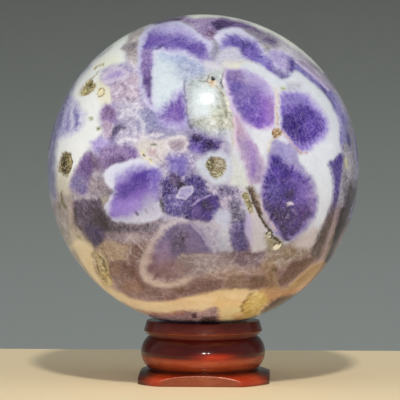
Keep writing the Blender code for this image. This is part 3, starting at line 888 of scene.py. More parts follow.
vein([(25.2, 12), (26.4, 10.4), (28.4, 8), (30, 6.2), (31.4, 5.2), (33, 5.6)], "#c5b0b6", 0.65, 0.3,
     cover=0.9)
vein([(29, 7), (30, 6), (31, 5.3)], "#a98a72", 0.35, 0.25, cover=0.6)

# The narrow pink crystal between them.
patch([(9.8, 17.6), (11.5, 16.6), (13, 14.4), (15, 10.6), (17, 7.6), (18.6, 4.2), (19.4, 1), (19.2, -2.6),
       (17.4, -4.8), (14.6, -4), (13.4, 0), (11.6, 6), (10, 11)], "#a595b8", rim="#bfaec6", rim_width=1.2,
      mottle=0.25, fade=((13, 8), (13, 14), "#bba4b8"))
patch([(14, 9.6), (15.8, 8.6), (17, 4), (16.4, 0), (15, -1), (14.6, 4)], "#a086bd", edge=1.0, cover=0.8)
vein([(16, 2.4), (15.7, 0), (15.9, -2)], "#8d78bd", 0.7, 0.5, cover=0.7)
vein([(9.6, 15.8), (9.3, 11), (9.3, 6.4)], "#c8bbae", 0.6, 0.4)
vein([(10.1, 16.8), (10.2, 11), (10.9, 6)], "#d9c4d2", 0.6, 0.35)
vein([(20, 3.8), (19.8, 0.4), (19.4, -2)], "#d9cfe0", 0.7, 0.4, cover=0.7)

# The large drop-shaped crystal at the right.
patch([(22, 9.6), (25, 9), (28, 8.2), (29.6, 6.2), (30.2, 3.6), (32.6, 0.6), (34.8, -3), (36.2, -8),
       (35.8, -12.6), (34, -17), (30, -21.4), (26.6, -22.8), (23, -20.4), (20.4, -16), (18.4, -11.6),
       (18, -7), (18.8, -2), (20.2, 4)], "#a39cc0", mottle=0.2, edge=0.6)
patch([(22.4, 5.2), (24.4, 4.6), (26.4, 2), (28.6, 1.2), (31, -0.6), (33.4, -3.4), (35.2, -8), (35, -12.6),
       (33.2, -16.6), (29.6, -20.6), (26.8, -22), (23.8, -20.4), (21, -15.4), (19, -11.4), (18.4, -7.4),
       (19.2, -3), (20.4, 1.4), (21.4, 4)], "#4f3b93", rim="#8775b6", rim_width=1.4, mottle=0.45, edge=0.6,
      ragged=0.25, rays=0.9, fade=((27, -4), (26, -16), "#3f2874"))
patch([(23.4, 8.4), (27.4, 7.6), (28.2, 4.6), (26, 2.4), (24.4, 4.6), (22.8, 5)], "#a09ac8", mottle=0.25,
      edge=0.9, cover=0.8)
patch([(22.4, 4.2), (25.4, 3), (27.6, 0.6), (27.4, -4), (23, -3), (21.6, 0)], "#553f93", mottle=0.5,
      edge=1.0, cover=0.7)
patch([(26, 1.6), (28, 0), (27.6, -4), (26, -2.6)], "#412a78", edge=0.8, cover=0.8)
patch([(29, -1), (32.4, -3.4), (33.4, -8), (30, -9), (28.6, -5)], "#7a62b0", mottle=0.45, edge=1.2,
      cover=0.7)
patch([(33.6, -5), (35.4, -8), (35, -13), (33.2, -12), (33, -8)], "#917eb4", edge=0.8, cover=0.7)
patch([(20.4, -4), (24, -5), (24, -9), (20, -9)], "#574f99", mottle=0.5, edge=1.2, cover=0.6)
patch([(26.6, -6.6), (28.4, -6.4), (28.4, -8.4), (26.8, -8.2)], "#36205a", edge=0.7, cover=0.8)
patch([(30.6, -11), (33.4, -11.6), (33, -16), (30.4, -15)], "#4f2f78", mottle=0.4, edge=1.0, cover=0.7)
patch([(18.8, -9), (20.6, -10), (21, -12), (19.4, -12)], "#4c4673", edge=0.7, cover=0.7)
patch([(21, -14), (26, -12), (29, -15), (26, -19), (23, -18)], "#45346a", mottle=0.6, edge=1.4, cover=0.6)
patch([(26.6, -10.4), (27.6, -9.9), (28.4, -10.5), (27.8, -11), (27, -11)], "#e2dae6", mottle=0.5, edge=0.3,
      cover=0.85)
vein([(28.2, -12), (28.9, -12.9), (29.6, -13.8)], "#a48fb4", 0.5, 0.4, cover=0.7)
vein([(26.9, -13.6), (26.4, -14.8)], "#9a86b0", 0.6, 0.4, cover=0.7)
patch([(25.8, -21.4), (27.8, -21.5), (27.6, -22.2), (26, -22.2)], "#372350", mottle=0.2, edge=0.35,
      cover=0.8)

# Far right edge: a purple stripe, grey-brown quartz and dark brown low down.
patch([(39.7, 2.4), (41, 3.6), (42.6, 5.2), (44.4, 4.6), (44.2, 0), (43.4, -5), (43, -9), (42, -13),
       (40, -18), (38.4, -16.6), (40, -12), (41, -7.4), (41.2, -3.4), (40.2, 0)], "#665794", mottle=0.4,
      edge=0.45, fade=((42, -4), (40.5, -16), "#655a70"))
patch([(44, 8), (46, 8), (47.6, 3), (47.6, -3), (45.6, -7), (43.6, -12), (42.4, -15), (43.2, -8),
       (43.8, -3), (44.4, 2)], "#98959f", mottle=0.6, edge=0.6)
patch([(44.9, 3.6), (45.5, 3.8), (45.7, 1.2), (45.1, 0.9)], "#bbb99c", mottle=0.5, edge=0.35)
patch([(46.2, -4), (48.4, -3), (60, -4), (58, -24), (46, -19), (43.4, -17), (44.2, -11)], "#544a52",
      mottle=0.35, edge=0.8)

# Left: a grey-purple crystal and mauve quartz, with white flecks.
patch([(-35.4, 9.2), (-32, 10.2), (-29.8, 8.4), (-30.8, 6), (-33, 5.8), (-35, 7)], "#b1a5d3", mottle=0.35,
      edge=0.6)
patch([(-33.6, 7), (-32.4, 6.6), (-32.6, 5.2), (-33.6, 5.6)], "#8377ad", cover=0.8)
patch([(-32.4, 5.8), (-30.4, 7.2), (-27, 8), (-23.6, 7.6), (-19.6, 7.4), (-19.4, 5), (-22, 3.6), (-26, 2.2),
       (-30, 0.8), (-33.4, 0.6), (-34, 3)], "#937fa9", mottle=0.5, edge=0.6, ragged=0.3)
patch([(-31, 3), (-27, 4.2), (-24, 4.6), (-24.4, 3.2), (-28, 1.8), (-31.4, 0.8)], "#6b5480", mottle=0.45,
      edge=0.7, cover=0.85)
patch([(-24, 6.6), (-21, 7), (-20.4, 4.4), (-22.6, 3.8)], "#8d77ad", mottle=0.6, edge=0.6, cover=0.8)
patch([(-37.8, 5.2), (-35.6, 6), (-33.6, 3.6), (-33.4, 0), (-34.6, -3), (-35.4, -6.4), (-38, -8.4),
       (-41, -7), (-42.4, -5), (-41, -1), (-39.6, 2)], "#836c98", rim="#9f90b0", rim_width=1.0, mottle=0.4,
      fade=((-37, 0), (-40.5, -3), "#8f86ae"))
patch([(-38, 4), (-36, 4.6), (-35, 1), (-36.6, -2), (-38.6, 0)], "#7c6499", mottle=0.4, edge=0.9, cover=0.6)
patch([(-39.6, -4.8), (-37, -4.4), (-36.4, -6.6), (-38.6, -7.4)], "#6a5b98", mottle=0.5, edge=0.7,
      cover=0.8)
patch([(-35.4, 4.8), (-33.4, 4), (-31.6, 1), (-33, -1.6), (-35, 0.4)], "#75617d", mottle=0.35, edge=0.8,
      cover=0.85)
patch([(-35, -1), (-31.6, -0.6), (-30.8, -4), (-28.4, -6), (-29, -8.4), (-33, -8.6), (-36, -7),
       (-35.6, -3)], "#958b98", mottle=0.5, edge=0.7, ragged=0.4)
patch([(-41.6, -6.8), (-38.4, -8.2), (-34.4, -8.4), (-35, -10), (-39, -10), (-41.4, -9)], "#aaa3ad",
      mottle=0.5, edge=0.7)
vein([(-38.4, -8.9), (-36.4, -8.7)], "#d7d4d6", 0.6, 0.35)
patch([(-32.2, -8.6), (-30, -8.4), (-29.6, -14), (-31.2, -13), (-32, -11)], "#a09a92", mottle=0.4, edge=0.6)

# The broad crystal at the left of the middle: dark above, fading to a milky foot, with a thick rim.
patch([(-31.5, -0.8), (-29, 1.5), (-25, 2.9), (-20.4, 3.8), (-16.8, 3), (-13.8, 0.8), (-11.8, -2),
       (-12, -6), (-13.2, -9.6), (-12.4, -12.6), (-13.4, -14.8), (-16.8, -16.5), (-21, -17), (-25, -17),
       (-29.2, -16.3), (-31.6, -13), (-29.8, -9.4), (-28.4, -6.2), (-31, -3.8)], "#d6d8e8", mottle=0.15,
      edge=0.3, ragged=0.12)
patch([(-27.8, -4.6), (-25.7, -1.6), (-22, 0.2), (-18.5, 1), (-14.5, 0.2), (-12.2, -2.2), (-12.4, -6.5),
       (-13.6, -9.4), (-16, -12), (-20, -14.4), (-25, -15.4), (-29.2, -14.8), (-29, -10.8), (-27.8, -7.6)],
      "#8266bb", mottle=0.15, edge=0.8, ragged=0.25, fade=((-22.4, -8), (-17.4, -14), "#bfbed6"))
patch([(-28.6, -2.6), (-25, 0.4), (-21, 1.8), (-17, 1.6), (-21, -1), (-26, -4)], "#a79dd0", mottle=0.4,
      edge=0.8, cover=0.75, ragged=0.4)
patch([(-28, -7.4), (-25, -4.6), (-21.4, -1.2), (-18, 0.2), (-15, -0.8), (-16.6, -3.8), (-20.4, -5.8),
       (-25, -8.2)], "#523c96", edge=1.2, cover=0.9)
patch([(-16.8, -0.2), (-13, -0.8), (-12.4, -6), (-14.2, -9), (-17, -6)], "#8b7cc4", mottle=0.5, edge=0.9,
      cover=0.85)
patch([(-14.8, -6.4), (-12.6, -6.8), (-13.4, -9.6), (-15.6, -9)], "#a79dd0", mottle=0.4, edge=0.8,
      cover=0.7)
patch([(-29, -10.6), (-24, -9.2), (-20, -9.6), (-21, -12.8), (-26, -14.4), (-29, -13.4)], "#a692d8",
      mottle=0.1, edge=1.3, cover=0.75)
patch([(-30.4, -14.4), (-25, -16.2), (-20, -15.6), (-15, -15), (-13.4, -12.4), (-15, -11), (-18, -12.4),
       (-22, -14), (-27, -14.8)], "#c3c2d7", mottle=0.15, edge=0.8, cover=0.7)
patch([(-21.5, -13.2), (-20.8, -13.2), (-20.3, -14.2), (-20.9, -14.3)], "#4f4569", mottle=0.2, edge=0.2,
      cover=0.9)
vein([(-18.4, -12.6), (-17.8, -13.8)], "#8e8a9c", 0.5, 0.3, cover=0.6)
vein([(-16.4, -11.6), (-15.6, -13)], "#a5a1b0", 0.5, 0.3, cover=0.6)

# The middle: a mottled dark crystal with a pale chip in it, under a lilac one.
patch([(-20.4, 9.6), (-13, 10), (-6, 10.8), (-4.8, 6), (-10, 5), (-13, 2.4), (-17, 2.4), (-20.4, 4.6)],
      "#d3cdd0", mottle=0.35, edge=0.7, ragged=0.35)
patch([(-19.4, 8.6), (-14.4, 9), (-12.6, 6.4), (-14.6, 4), (-18.6, 4.6)], "#cbc7c2", mottle=0.4, edge=1.1,
      cover=0.7, ragged=0.6, veil=0.6)
patch([(-17, 6.4), (-15, 6.6), (-14.6, 5), (-16.4, 4.6)], "#b99bab", edge=0.8, cover=0.7)
patch([(-10.9, 8.6), (-7.6, 9.8), (-5.6, 8.4), (-7, 6.4), (-9.6, 6.6)], "#a294a4", mottle=0.4, cover=0.9)
vein([(-11.6, 8), (-10.4, 6.4), (-8, 5.6), (-5.6, 6.6), (-4.9, 8.8)], "#e3e0e4", 0.7, 0.35, ragged=0.3,
     cover=0.85)
vein([(-11.4, 9.4), (-8.8, 10.6), (-6, 10.4)], "#d9d6de", 0.6, 0.35, ragged=0.3, cover=0.75)
vein([(-16.2, 8.5), (-15.4, 8.3), (-14.9, 8)], "#7c7f70", 0.5, 0.3, cover=0.85)
vein([(-18.9, 5.4), (-18.2, 4), (-16.9, 3), (-16, 1.9)], "#d9d4ab", 0.7, 0.35, cover=0.85)
vein([(-18.6, 4.7), (-18.1, 4.3)], "#4d3c2c", 0.4, 0.25, cover=0.9)
vein([(-17, 3.6), (-16.2, 3)], "#8f8862", 0.3, 0.25, cover=0.7)
vein([(-14.4, 4.2), (-13.5, 3.5)], "#77738a", 0.5, 0.3, cover=0.7)
patch([(-10.4, 3), (-8, 4.4), (-5.4, 4.2), (-4.8, 1), (-5.6, -2), (-9.4, -1.4), (-10.6, 1)], "#8377b8",
      rim="#a39dc8", rim_width=1.2, mottle=0.4, edge=0.7)
patch([(-4.8, 7.4), (-4, 10), (-2.4, 11.4), (1, 11), (3.8, 10), (5.6, 8.6), (5.2, 6.4), (2.2, 6), (0, 5.2),
       (-2.4, 5.6)], "#5b4788", mottle=0.6, edge=0.8, ragged=0.6)
patch([(-3, 10.8), (-0.6, 11), (-0.8, 9.4), (-2.6, 9.2)], "#382858", mottle=0.4, edge=0.6, cover=0.85)
patch([(0.4, 9.4), (3, 9.4), (4.6, 8), (2.6, 6.6), (0.6, 7.4)], "#3f3160", mottle=0.6, edge=0.6, cover=0.8)
patch([(-3.8, 8.2), (-1.2, 8.4), (-0.8, 6), (-3.4, 5.8)], "#8070b6", edge=0.8, cover=0.85)
patch([(-12, 5), (-8, 6), (-4, 5), (-1.6, 2), (-2, -1.6), (0.6, -3.6), (6, -5), (12, -6), (13, -12),
       (10, -17), (4, -20), (-6, -17), (-12, -14.6), (-13.6, -8), (-12.6, -2)], "#a69eba", mottle=0.75,
      edge=1.2, ragged=0.5, veil=0.5)
patch([(-10.6, 4), (-8, 4.8), (-5.4, 4), (-4.6, 1), (-5.6, -1.6), (-9.4, -1.2), (-10.8, 1.4)], "#8075b7",
      mottle=0.35, edge=1.2)
patch([(-13.2, -4), (-10.6, -1.4), (-7, -3), (-4, -1.8), (-2.2, -1.2), (0.2, -3.2), (1.4, -6.4),
       (4.6, -7.4), (5.6, -9.6), (5.2, -12.6), (3, -15.4), (0.6, -17), (-3.6, -16.6), (-7, -14.8),
       (-11.4, -13.8), (-12.8, -9)], "#4b3f86", mottle=0.8, edge=0.7, ragged=0.6)
patch([(-10.4, -1), (-8.4, -1.2), (-6.8, -3), (-8, -4.4), (-10.2, -4)], "#5a4b74", mottle=0.5, cover=0.9)
patch([(-7.4, -4), (-5.2, -4.2), (-5.4, -5.4), (-7.2, -7), (-8, -6.6)], "#261b3e", edge=0.4, cover=0.9)
patch([(-11.8, -8.8), (-8, -9.6), (-5, -11), (-5, -13.6), (-8, -14), (-11.6, -12.8)], "#5c559b", mottle=0.8,
      edge=0.8, cover=0.7, ragged=0.5)
patch([(-6, -10.4), (-3.4, -10.4), (-2.6, -13), (-4.6, -13.6), (-6.4, -12)], "#41357a", mottle=0.5,
      edge=0.7, cover=0.7)
patch([(-3.6, -10.8), (-0.6, -9), (2.2, -8.2), (5, -8.6), (5, -12), (2.6, -15.4), (0, -16.6), (-3.2, -16)],
      "#432d88", mottle=0.35, ragged=0.25)
patch([(0, -9.6), (2.4, -9.4), (2.8, -12.2), (1, -12.8), (-0.6, -11.4)], "#2b1b56", mottle=0.4, edge=0.6,
      cover=0.9)
patch([(-3, -11.6), (-1, -11.4), (-0.6, -14.2), (-2.6, -14.6)], "#7c66a6", mottle=0.35, edge=0.7, cover=0.7)
patch([(-2.8, -15), (0.8, -14.6), (1, -16.8), (-2.6, -16.8)], "#432f70", mottle=0.4, edge=0.6, cover=0.85)
patch([(-4, -3.4), (0, -3.4), (1, -6.4), (-2.6, -7.8), (-3.6, -6)], "#4c428a", mottle=0.6, edge=0.7,
      cover=0.75)
patch([(-8.3, -8.4), (-7.6, -6.6), (-6.4, -5.5), (-4, -5), (-3.3, -6.6), (-4.4, -8.2), (-5.2, -9.2),
       (-7.4, -8.9)], "#aaa5cf", rim="#c9c6e2", rim_width=0.5, edge=0.22, ragged=0.08)
vein([(-7.2, -8), (-6.4, -7.8), (-5.4, -8.1)], "#7670aa", 0.35, 0.25, cover=0.6)
vein([(-6.4, -6.4), (-5.2, -6), (-4.4, -6.4)], "#8882b8", 0.3, 0.25, cover=0.5)
vein([(-3.9, -11.2), (-2.2, -10), (0.4, -8.6), (2, -7.8), (4.4, -7.1)], "#b3a5d2", 0.45, 0.3)
vein([(-3.4, -12), (-3.2, -13.8), (-2.2, -15.6)], "#9a88bf", 0.4, 0.3, cover=0.6)
vein([(-1.4, -16), (0.2, -14.4), (1.6, -12.8)], "#8d79b4", 0.35, 0.3, cover=0.55)
vein([(1, -11.6), (3.6, -11.4), (5, -12)], "#8d7cb6", 0.35, 0.3, cover=0.5)
vein([(-7, -3.2), (-5.6, -4.2), (-4.8, -5)], "#a296c4", 0.4, 0.35, cover=0.6)
patch([(-13.9, -9), (-13, -9.2), (-12, -12.6), (-12.8, -13), (-13.6, -11)], "#4c4a5f", edge=0.35, cover=0.9)
patch([(-12.6, -14), (-7, -15), (-4, -17), (-9, -17.2), (-12.6, -16.2)], "#c6c2d8", mottle=0.35, cover=0.85)
vein([(-9.5, -15.9), (-8.8, -15.8)], "#4a4460", 0.5, 0.3, cover=0.9)
patch([(2.4, -5.2), (8.6, -5.2), (11.6, -7), (11, -11), (7.4, -11.6), (5.6, -9), (4.8, -7)], "#8f87a9",
      mottle=0.9, edge=0.8, ragged=0.6)
patch([(4.6, -4.8), (8.6, -5), (9.6, -8.6), (7.4, -7.6)], "#6f6890", mottle=0.8, edge=0.7, cover=0.6,
      ragged=0.5)
patch([(5.4, -9.4), (8.2, -9.6), (8, -12.4), (6, -12.4)], "#c0b4ca", mottle=0.5, edge=0.8, cover=0.8)
patch([(8.4, -9.6), (10.8, -10), (13, -13), (13.8, -16), (12, -19), (9, -17.6), (8.4, -14)], "#74708e",
      mottle=0.85, edge=0.7, ragged=0.6)
patch([(3.8, -13), (7.8, -12), (8.8, -15), (8, -20), (5, -19.6), (3.6, -16.6)], "#c8cbdf", mottle=0.35,
      edge=0.8)

# The round pocket just right of the middle, set in a white border.
patch([(-2, 2.6), (0.4, 4.6), (3, 6), (6.4, 5.6), (8.8, 3.6), (9, 0), (8.4, -3), (6, -4.4), (3, -4.2),
       (0.6, -2.4), (-1.4, 0)], "#c4c9d7", mottle=0.25, edge=0.7)

# Lower left: a dark smoky area, its ragged tail to the right, and the tan and brown bands beneath.
patch([(-41.4, -10.6), (-39, -8.8), (-35, -9), (-32, -9.6), (-31.4, -13), (-29, -16), (-27, -17),
       (-29.4, -20), (-31.6, -22.6), (-33, -24.2), (-34.8, -24), (-36.8, -21.4), (-39, -18.6), (-41, -16),
       (-41.4, -13)], "#4e415c", mottle=0.5, ragged=0.3, fade=((-34, -12), (-38, -11), "#6b5d78"))
patch([(-34.6, -12), (-31.6, -12), (-29, -16), (-29.6, -19), (-33, -17.4), (-35, -15)], "#382c3f", edge=0.9,
      cover=0.8)
patch([(-37, -17.4), (-32.6, -18), (-31.4, -21), (-33.4, -23.2), (-35.4, -22)], "#43386b", mottle=0.4,
      edge=0.8, cover=0.85)
vein([(-41.1, -12), (-40.4, -12.6), (-40.3, -15), (-39.6, -17.2), (-38.6, -18.6)], "#2a1f26", 0.9, 0.4,
     ragged=0.3, cover=0.85)
patch([(-30, -16.6), (-22, -16.8), (-15.4, -16.4), (-9.6, -15.6), (-12, -18.2), (-16, -19.8), (-22, -19.8),
       (-28, -20)], "#675d6e", mottle=0.6, edge=0.7, ragged=0.5, fade=((-20, -18), (-13, -17.6), "#8f8799"))
patch([(-29.6, -20), (-22, -19.8), (-15, -20), (-15.6, -22.4), (-19, -23.4), (-24, -23), (-30.4, -22.4)],
      "#a0909c", mottle=0.5, edge=0.9, ragged=0.5, veil=0.5)
patch([(-24, -20.6), (-21, -20.4), (-20.4, -22), (-23, -22.4)], "#c0b2b3", mottle=0.4, edge=0.7, cover=0.8)
patch([(-29.6, -20.6), (-28, -20.4), (-28.6, -22)], "#6d6065", mottle=0.4, edge=0.6, cover=0.7)
patch([(-33.2, -24.4), (-31, -22.4), (-26, -23), (-22, -23.8), (-21, -27), (-24, -29), (-27.6, -30),
       (-30, -28)], "#b4a08f", mottle=0.45, edge=0.8, ragged=0.3)
patch([(-22.6, -23.6), (-19, -22.6), (-15.6, -22.4), (-17.6, -26), (-19.6, -29.6), (-24.6, -28.6),
       (-24, -26)], "#8d7573", mottle=0.5, edge=0.9, ragged=0.4, veil=0.4)
patch([(-46.4, -9), (-44, -6.4), (-41.6, -7.6), (-41.2, -12), (-40.8, -17), (-38.6, -19.4), (-36.4, -22.4),
       (-34.6, -25), (-36, -30), (-43, -26), (-46.6, -17)], "#afa49d", edge=0.6, fade=((-42, -16),
      (-38, -24), "#bfb49c"), veil=0.3)
patch([(-45.6, -5.6), (-43, -5.4), (-42, -7), (-44.4, -8)], "#cfc8bb", mottle=0.2, edge=0.7)
vein([(-44.8, -7), (-44.7, -9), (-44.3, -10.4), (-43.5, -11.6)], "#7a7350", 0.8, 0.4)
vein([(-45.6, -10.4), (-45.4, -12.2)], "#837b5e", 0.6, 0.35)
vein([(-39.8, -20.6), (-38.6, -22.6), (-37.4, -24.2)], "#8f845c", 0.7, 0.5, ragged=0.5, cover=0.7)
# The cream band is partly stone and partly painted warm light from the floor below.
patch([(-40, -22), (-37, -22.6), (-34.4, -25.2), (-34.6, -29), (-33, -33.6), (-30, -36.6), (-26, -38.6),
       (-22, -40.6), (-16, -41.4), (-10, -41), (-5, -40), (0, -39), (5, -37.6), (12, -37.2), (18, -37.6),
       (22, -38), (24, -41), (20, -46), (14, -49), (4, -47), (4, -43.4), (0, -44.8), (-6, -44.6),
       (-12, -45.4), (-20, -44.2), (-27, -41.6), (-33, -39), (-40, -33), (-44, -27)], "#dccdb0",
      mottle=0.18, edge=0.6, ragged=0.25, fade=((-37, -25), (-34, -31), "#d4bfa0"))
patch([(-40, -25), (-38.5, -29), (-35.6, -33), (-33, -36.4), (-35, -38), (-42, -32), (-44, -26)], "#b3a597",
      mottle=0.2, edge=0.9, cover=0.8)
patch([(4, -41), (10, -41), (13, -44), (12, -47.6), (6, -48), (4.4, -45)], "#d6bd92", mottle=0.2, edge=1.4,
      cover=0.8)
patch([(-35.4, -26), (-33, -25), (-30.6, -28), (-29.4, -31.6), (-28.6, -36), (-31, -36.4), (-33.2, -33),
       (-34.4, -29.6)], "#b3a283", mottle=0.9, ragged=0.6, fade=((-33, -27), (-30.5, -34), "#b09a66"))
vein([(-34, -28.6), (-33.2, -31), (-31.8, -33.6), (-30.6, -35)], "#6f5c2c", 0.8, 0.35, ragged=0.5)
vein([(-33.6, -26.4), (-32, -28.2), (-31, -30.4), (-29.8, -33.4)], "#78692f", 0.6, 0.3, ragged=0.5,
     cover=0.75)
vein([(-32.2, -24.4), (-31, -26.6), (-30.2, -29)], "#7a6c40", 0.5, 0.3, ragged=0.4, cover=0.75)
vein([(-33, -29.4), (-32.2, -31), (-31.2, -32.4)], "#d6c9a2", 0.6, 0.35, ragged=0.5, cover=0.7)
vein([(-31.6, -29), (-30.8, -31), (-30.4, -33)], "#5f5226", 0.5, 0.3, ragged=0.6)
vein([(-32.6, -30.4), (-31.6, -32.2)], "#5f5226", 0.5, 0.3, ragged=0.6)
patch([(-29.4, -28.8), (-25.6, -28.6), (-22.6, -29.6), (-20.2, -31), (-19.8, -34), (-17, -37), (-12, -38.6),
       (-6, -37.6), (0, -34.6), (5, -34), (5.4, -36.4), (1, -38.4), (-5, -39.2), (-12, -41), (-18, -40.6),
       (-23, -39.4), (-27, -36.8), (-29, -33)], "#7d6066", mottle=0.35, edge=0.6, ragged=0.35, veil=0.15)
patch([(-25.6, -30), (-22.4, -30), (-20.4, -31.4), (-20, -34.4), (-17.4, -37), (-19.4, -38), (-22.6, -34.4),
       (-25, -33)], "#6b4a49", mottle=0.4, edge=0.7, cover=0.85)
patch([(-25, -35.4), (-21.4, -35.4), (-20, -38.4), (-24, -38.4)], "#8f6d64", edge=1.0, cover=0.8)
patch([(-29, -29.6), (-26.4, -29.4), (-26.6, -33), (-28.6, -32.6)], "#8b6d60", edge=0.8, cover=0.8)
vein([(-29.3, -29), (-29.2, -31.6), (-28.6, -33.6)], "#5f4735", 0.5, 0.35, cover=0.7)
patch([(-9.6, -36.8), (-6, -37), (-6.4, -38.6), (-9, -38.4)], "#6a4f3f", mottle=0.4, edge=0.6, cover=0.7)
patch([(-20, -46.8), (-12, -45.6), (-4, -44.6), (0, -45), (4, -43.4), (4.6, -47), (0, -49), (-12, -49)],
      "#937c7f", mottle=0.6, edge=0.8, ragged=0.8)
vein([(-26, -42), (-20, -44.6), (-12, -45.6), (-6, -44.9)], "#a67c68", 0.8, 0.45, cover=0.7)
patch([(-3.6, -45.4), (-2.2, -45.2), (-2, -46.6), (-3.4, -46.8)], "#432c2b", mottle=0.2, edge=0.35,
      cover=0.9)
patch([(-1, -46.8), (2, -46.4), (5, -47.6), (0, -49)], "#40332a", edge=0.6, cover=0.8)

# The large pale crystal low in the middle, with a pinkish border below.
patch([(-9.6, -15.6), (-13.4, -18), (-16.2, -22), (-19, -26.6), (-20.2, -31), (-18.8, -34.6), (-14.4, -37),
       (-9, -36.8), (-5, -35.4), (-2, -33.4), (2, -32.4), (7, -32), (9.4, -29), (8.8, -24), (7.6, -19.4),
       (4, -17), (-4, -15.8)], "#c2b2b2", mottle=0.25, ragged=0.3, fade=((-14, -25), (-10, -17), "#cdc5cf"))
patch([(-9.6, -17.4), (-13, -20.6), (-15.6, -25.4), (-17.4, -30.4), (-16.4, -33), (-12.6, -35),
       (-7.4, -34.4), (-4, -32.6), (0, -30.6), (5, -27), (6, -23), (3, -19.4), (-2, -17), (-6, -16.6)],
      "#776c99", mottle=0.25, edge=0.8, ragged=0.35, rays=0.6, fade=((-8, -26), (-12, -32), "#8a6d7d"))
patch([(-13.4, -22.6), (-10.6, -22), (-10, -28), (-14.8, -29)], "#9d86a8", mottle=0.15, edge=1.3, cover=0.7)
patch([(-9.4, -18.4), (-5.4, -17.8), (-4.4, -22), (-6.6, -25.8), (-10.4, -25)], "#6d5c82", mottle=0.5,
      edge=1.0, cover=0.8, ragged=0.3)
patch([(-7.8, -19.6), (-6.2, -19.8), (-6.6, -24), (-9, -25.4), (-8.6, -22.6)], "#584a6c", mottle=0.6,
      edge=0.6, cover=0.7, ragged=0.4)
patch([(-4, -19), (-1.4, -19.6), (0.4, -24.6), (-3, -26.2), (-5.4, -24.6)], "#8b7ca2", mottle=0.2, edge=1.0,
      cover=0.75)
patch([(-3, -16.8), (0, -17), (4, -18), (7.8, -20), (8.6, -26), (3, -26.2), (1.6, -23.6), (-0.4, -20)],
      "#b2adc4", mottle=0.45, edge=0.8, ragged=0.5)
patch([(4.6, -18.4), (7.4, -19), (8.6, -24), (6, -25)], "#c9ccd9", mottle=0.4, edge=0.9, cover=0.8)
vein([(-4, -16.8), (-1.6, -19), (0.2, -21.6), (1.8, -24)], "#c0b5d4", 0.5, 0.4, cover=0.7)
patch([(-7, -26.3), (-2, -26.4), (4, -26.3), (9.4, -26), (10.4, -29), (8, -33), (0, -33.4), (-6, -33.4),
       (-9, -30.4)], "#9a8b94", mottle=0.35, edge=0.6, ragged=0.3, veil=0.3)
patch([(-13, -29), (-8, -28), (-4, -31.6), (-7, -34), (-13, -34)], "#8a7078", mottle=0.25, edge=1.3,
      cover=0.7)
vein([(-7.4, -26.4), (-3, -26.4), (2, -26.2), (7.6, -26)], "#8b7a76", 0.3, 0.25, cover=0.6)
vein([(-6.6, -26.9), (-1, -27), (4, -26.8)], "#c3b4ae", 0.4, 0.35, cover=0.6)

# Right of it: a dark purple wedge and a white one beside the long crack.
patch([(8.4, -19), (10, -16.8), (13, -16), (13.6, -20), (14.6, -24.6), (12, -26), (9.8, -25.4), (8.6, -22)],
      "#675d96", mottle=0.6, edge=0.7, ragged=0.5)
patch([(10, -18.8), (13, -18.8), (13.8, -23.8), (11, -24.4)], "#4f447c", mottle=0.4, edge=0.9, cover=0.75)
patch([(13.2, -15.4), (15, -12.6), (17.4, -13), (20, -17), (21, -21), (20, -25), (17.6, -25.8), (15.4, -26),
       (14.4, -23), (13.6, -19)], "#cbc7cd", mottle=0.12, edge=0.45, ragged=0.1, fade=((16.4, -19),
      (13.6, -19), "#bdb2d8"))
patch([(19.6, -20), (22.4, -20.6), (25.6, -23), (24, -25.4), (20.6, -25.4)], "#9f9882", mottle=0.45,
      edge=0.7, ragged=0.3)
patch([(9.4, -25.6), (15, -26.2), (20, -25.6), (21, -28), (18, -31), (11, -31)], "#7f6b7b", mottle=0.4,
      edge=0.8, ragged=0.4, veil=0.3)
patch([(20, -25), (24, -25), (28.4, -23), (32, -23.6), (34.6, -24.4), (32, -27.4), (28, -29), (24.4, -31),
       (20, -30)], "#8f7d72", mottle=0.45, edge=0.9, ragged=0.4, veil=0.3)
patch([(24.6, -24.6), (28, -23.4), (30, -24.4), (27.4, -26.6)], "#a28f7e", edge=0.9, cover=0.7)
patch([(4, -31), (12, -31), (21, -30.6), (22, -33.4), (14, -33), (6, -34.4), (1, -33.6)], "#9f8886",
      mottle=0.45, edge=0.9, veil=0.4)
patch([(18.6, -29), (23, -30), (23.4, -37), (20, -37), (19.4, -33)], "#9a8069", mottle=0.45, edge=0.9,
      cover=0.8)
patch([(22, -31), (23.2, -30.8), (23.4, -31.8), (22.4, -31.9)], "#4f3829", edge=0.4, cover=0.9)
patch([(7, -35.4), (8.6, -33.4), (13, -33), (14.2, -35.4), (13, -37.2), (8, -37.2)], "#876f69")
patch([(14.2, -35.6), (16.2, -33.4), (19.6, -33.8), (19.8, -36), (17.4, -37.4), (14.4, -37.4)], "#73584f")
vein([(6.6, -35.8), (8.4, -33), (13.4, -32.6), (18, -32.8)], "#b7a392", 0.5, 0.4, ragged=0.5, cover=0.4)
patch([(19.4, -35.4), (23.6, -35.6), (24.6, -38), (20, -38.4)], "#7d6050", mottle=0.4, edge=0.7, cover=0.8)
patch([(18, -38), (26, -37.4), (27, -39.4), (22, -42.4), (18.6, -41.6)], "#ab8562", edge=0.9)
patch([(13.4, -41), (16, -38.8), (19.2, -39), (20.2, -41.4), (18.6, -44.2), (16, -46.4), (13, -46),
       (11.8, -43.4)], "#bda466", mottle=0.45, edge=0.8, ragged=0.5)
vein([(14, -39.6), (15.2, -39), (16, -38.6)], "#6f5128", 0.6, 0.4, ragged=0.4, cover=0.7)
vein([(13, -41.6), (14, -40.8)], "#7b5b2c", 0.6, 0.4, ragged=0.4, cover=0.7)
vein([(12.2, -42.8), (12.4, -44.4)], "#7d5b33", 0.7, 0.4, ragged=0.4, cover=0.7)
patch([(9.6, -46), (13, -46.2), (14, -47.6), (10, -47.8)], "#ad8a52", mottle=0.4, edge=0.8, cover=0.7)
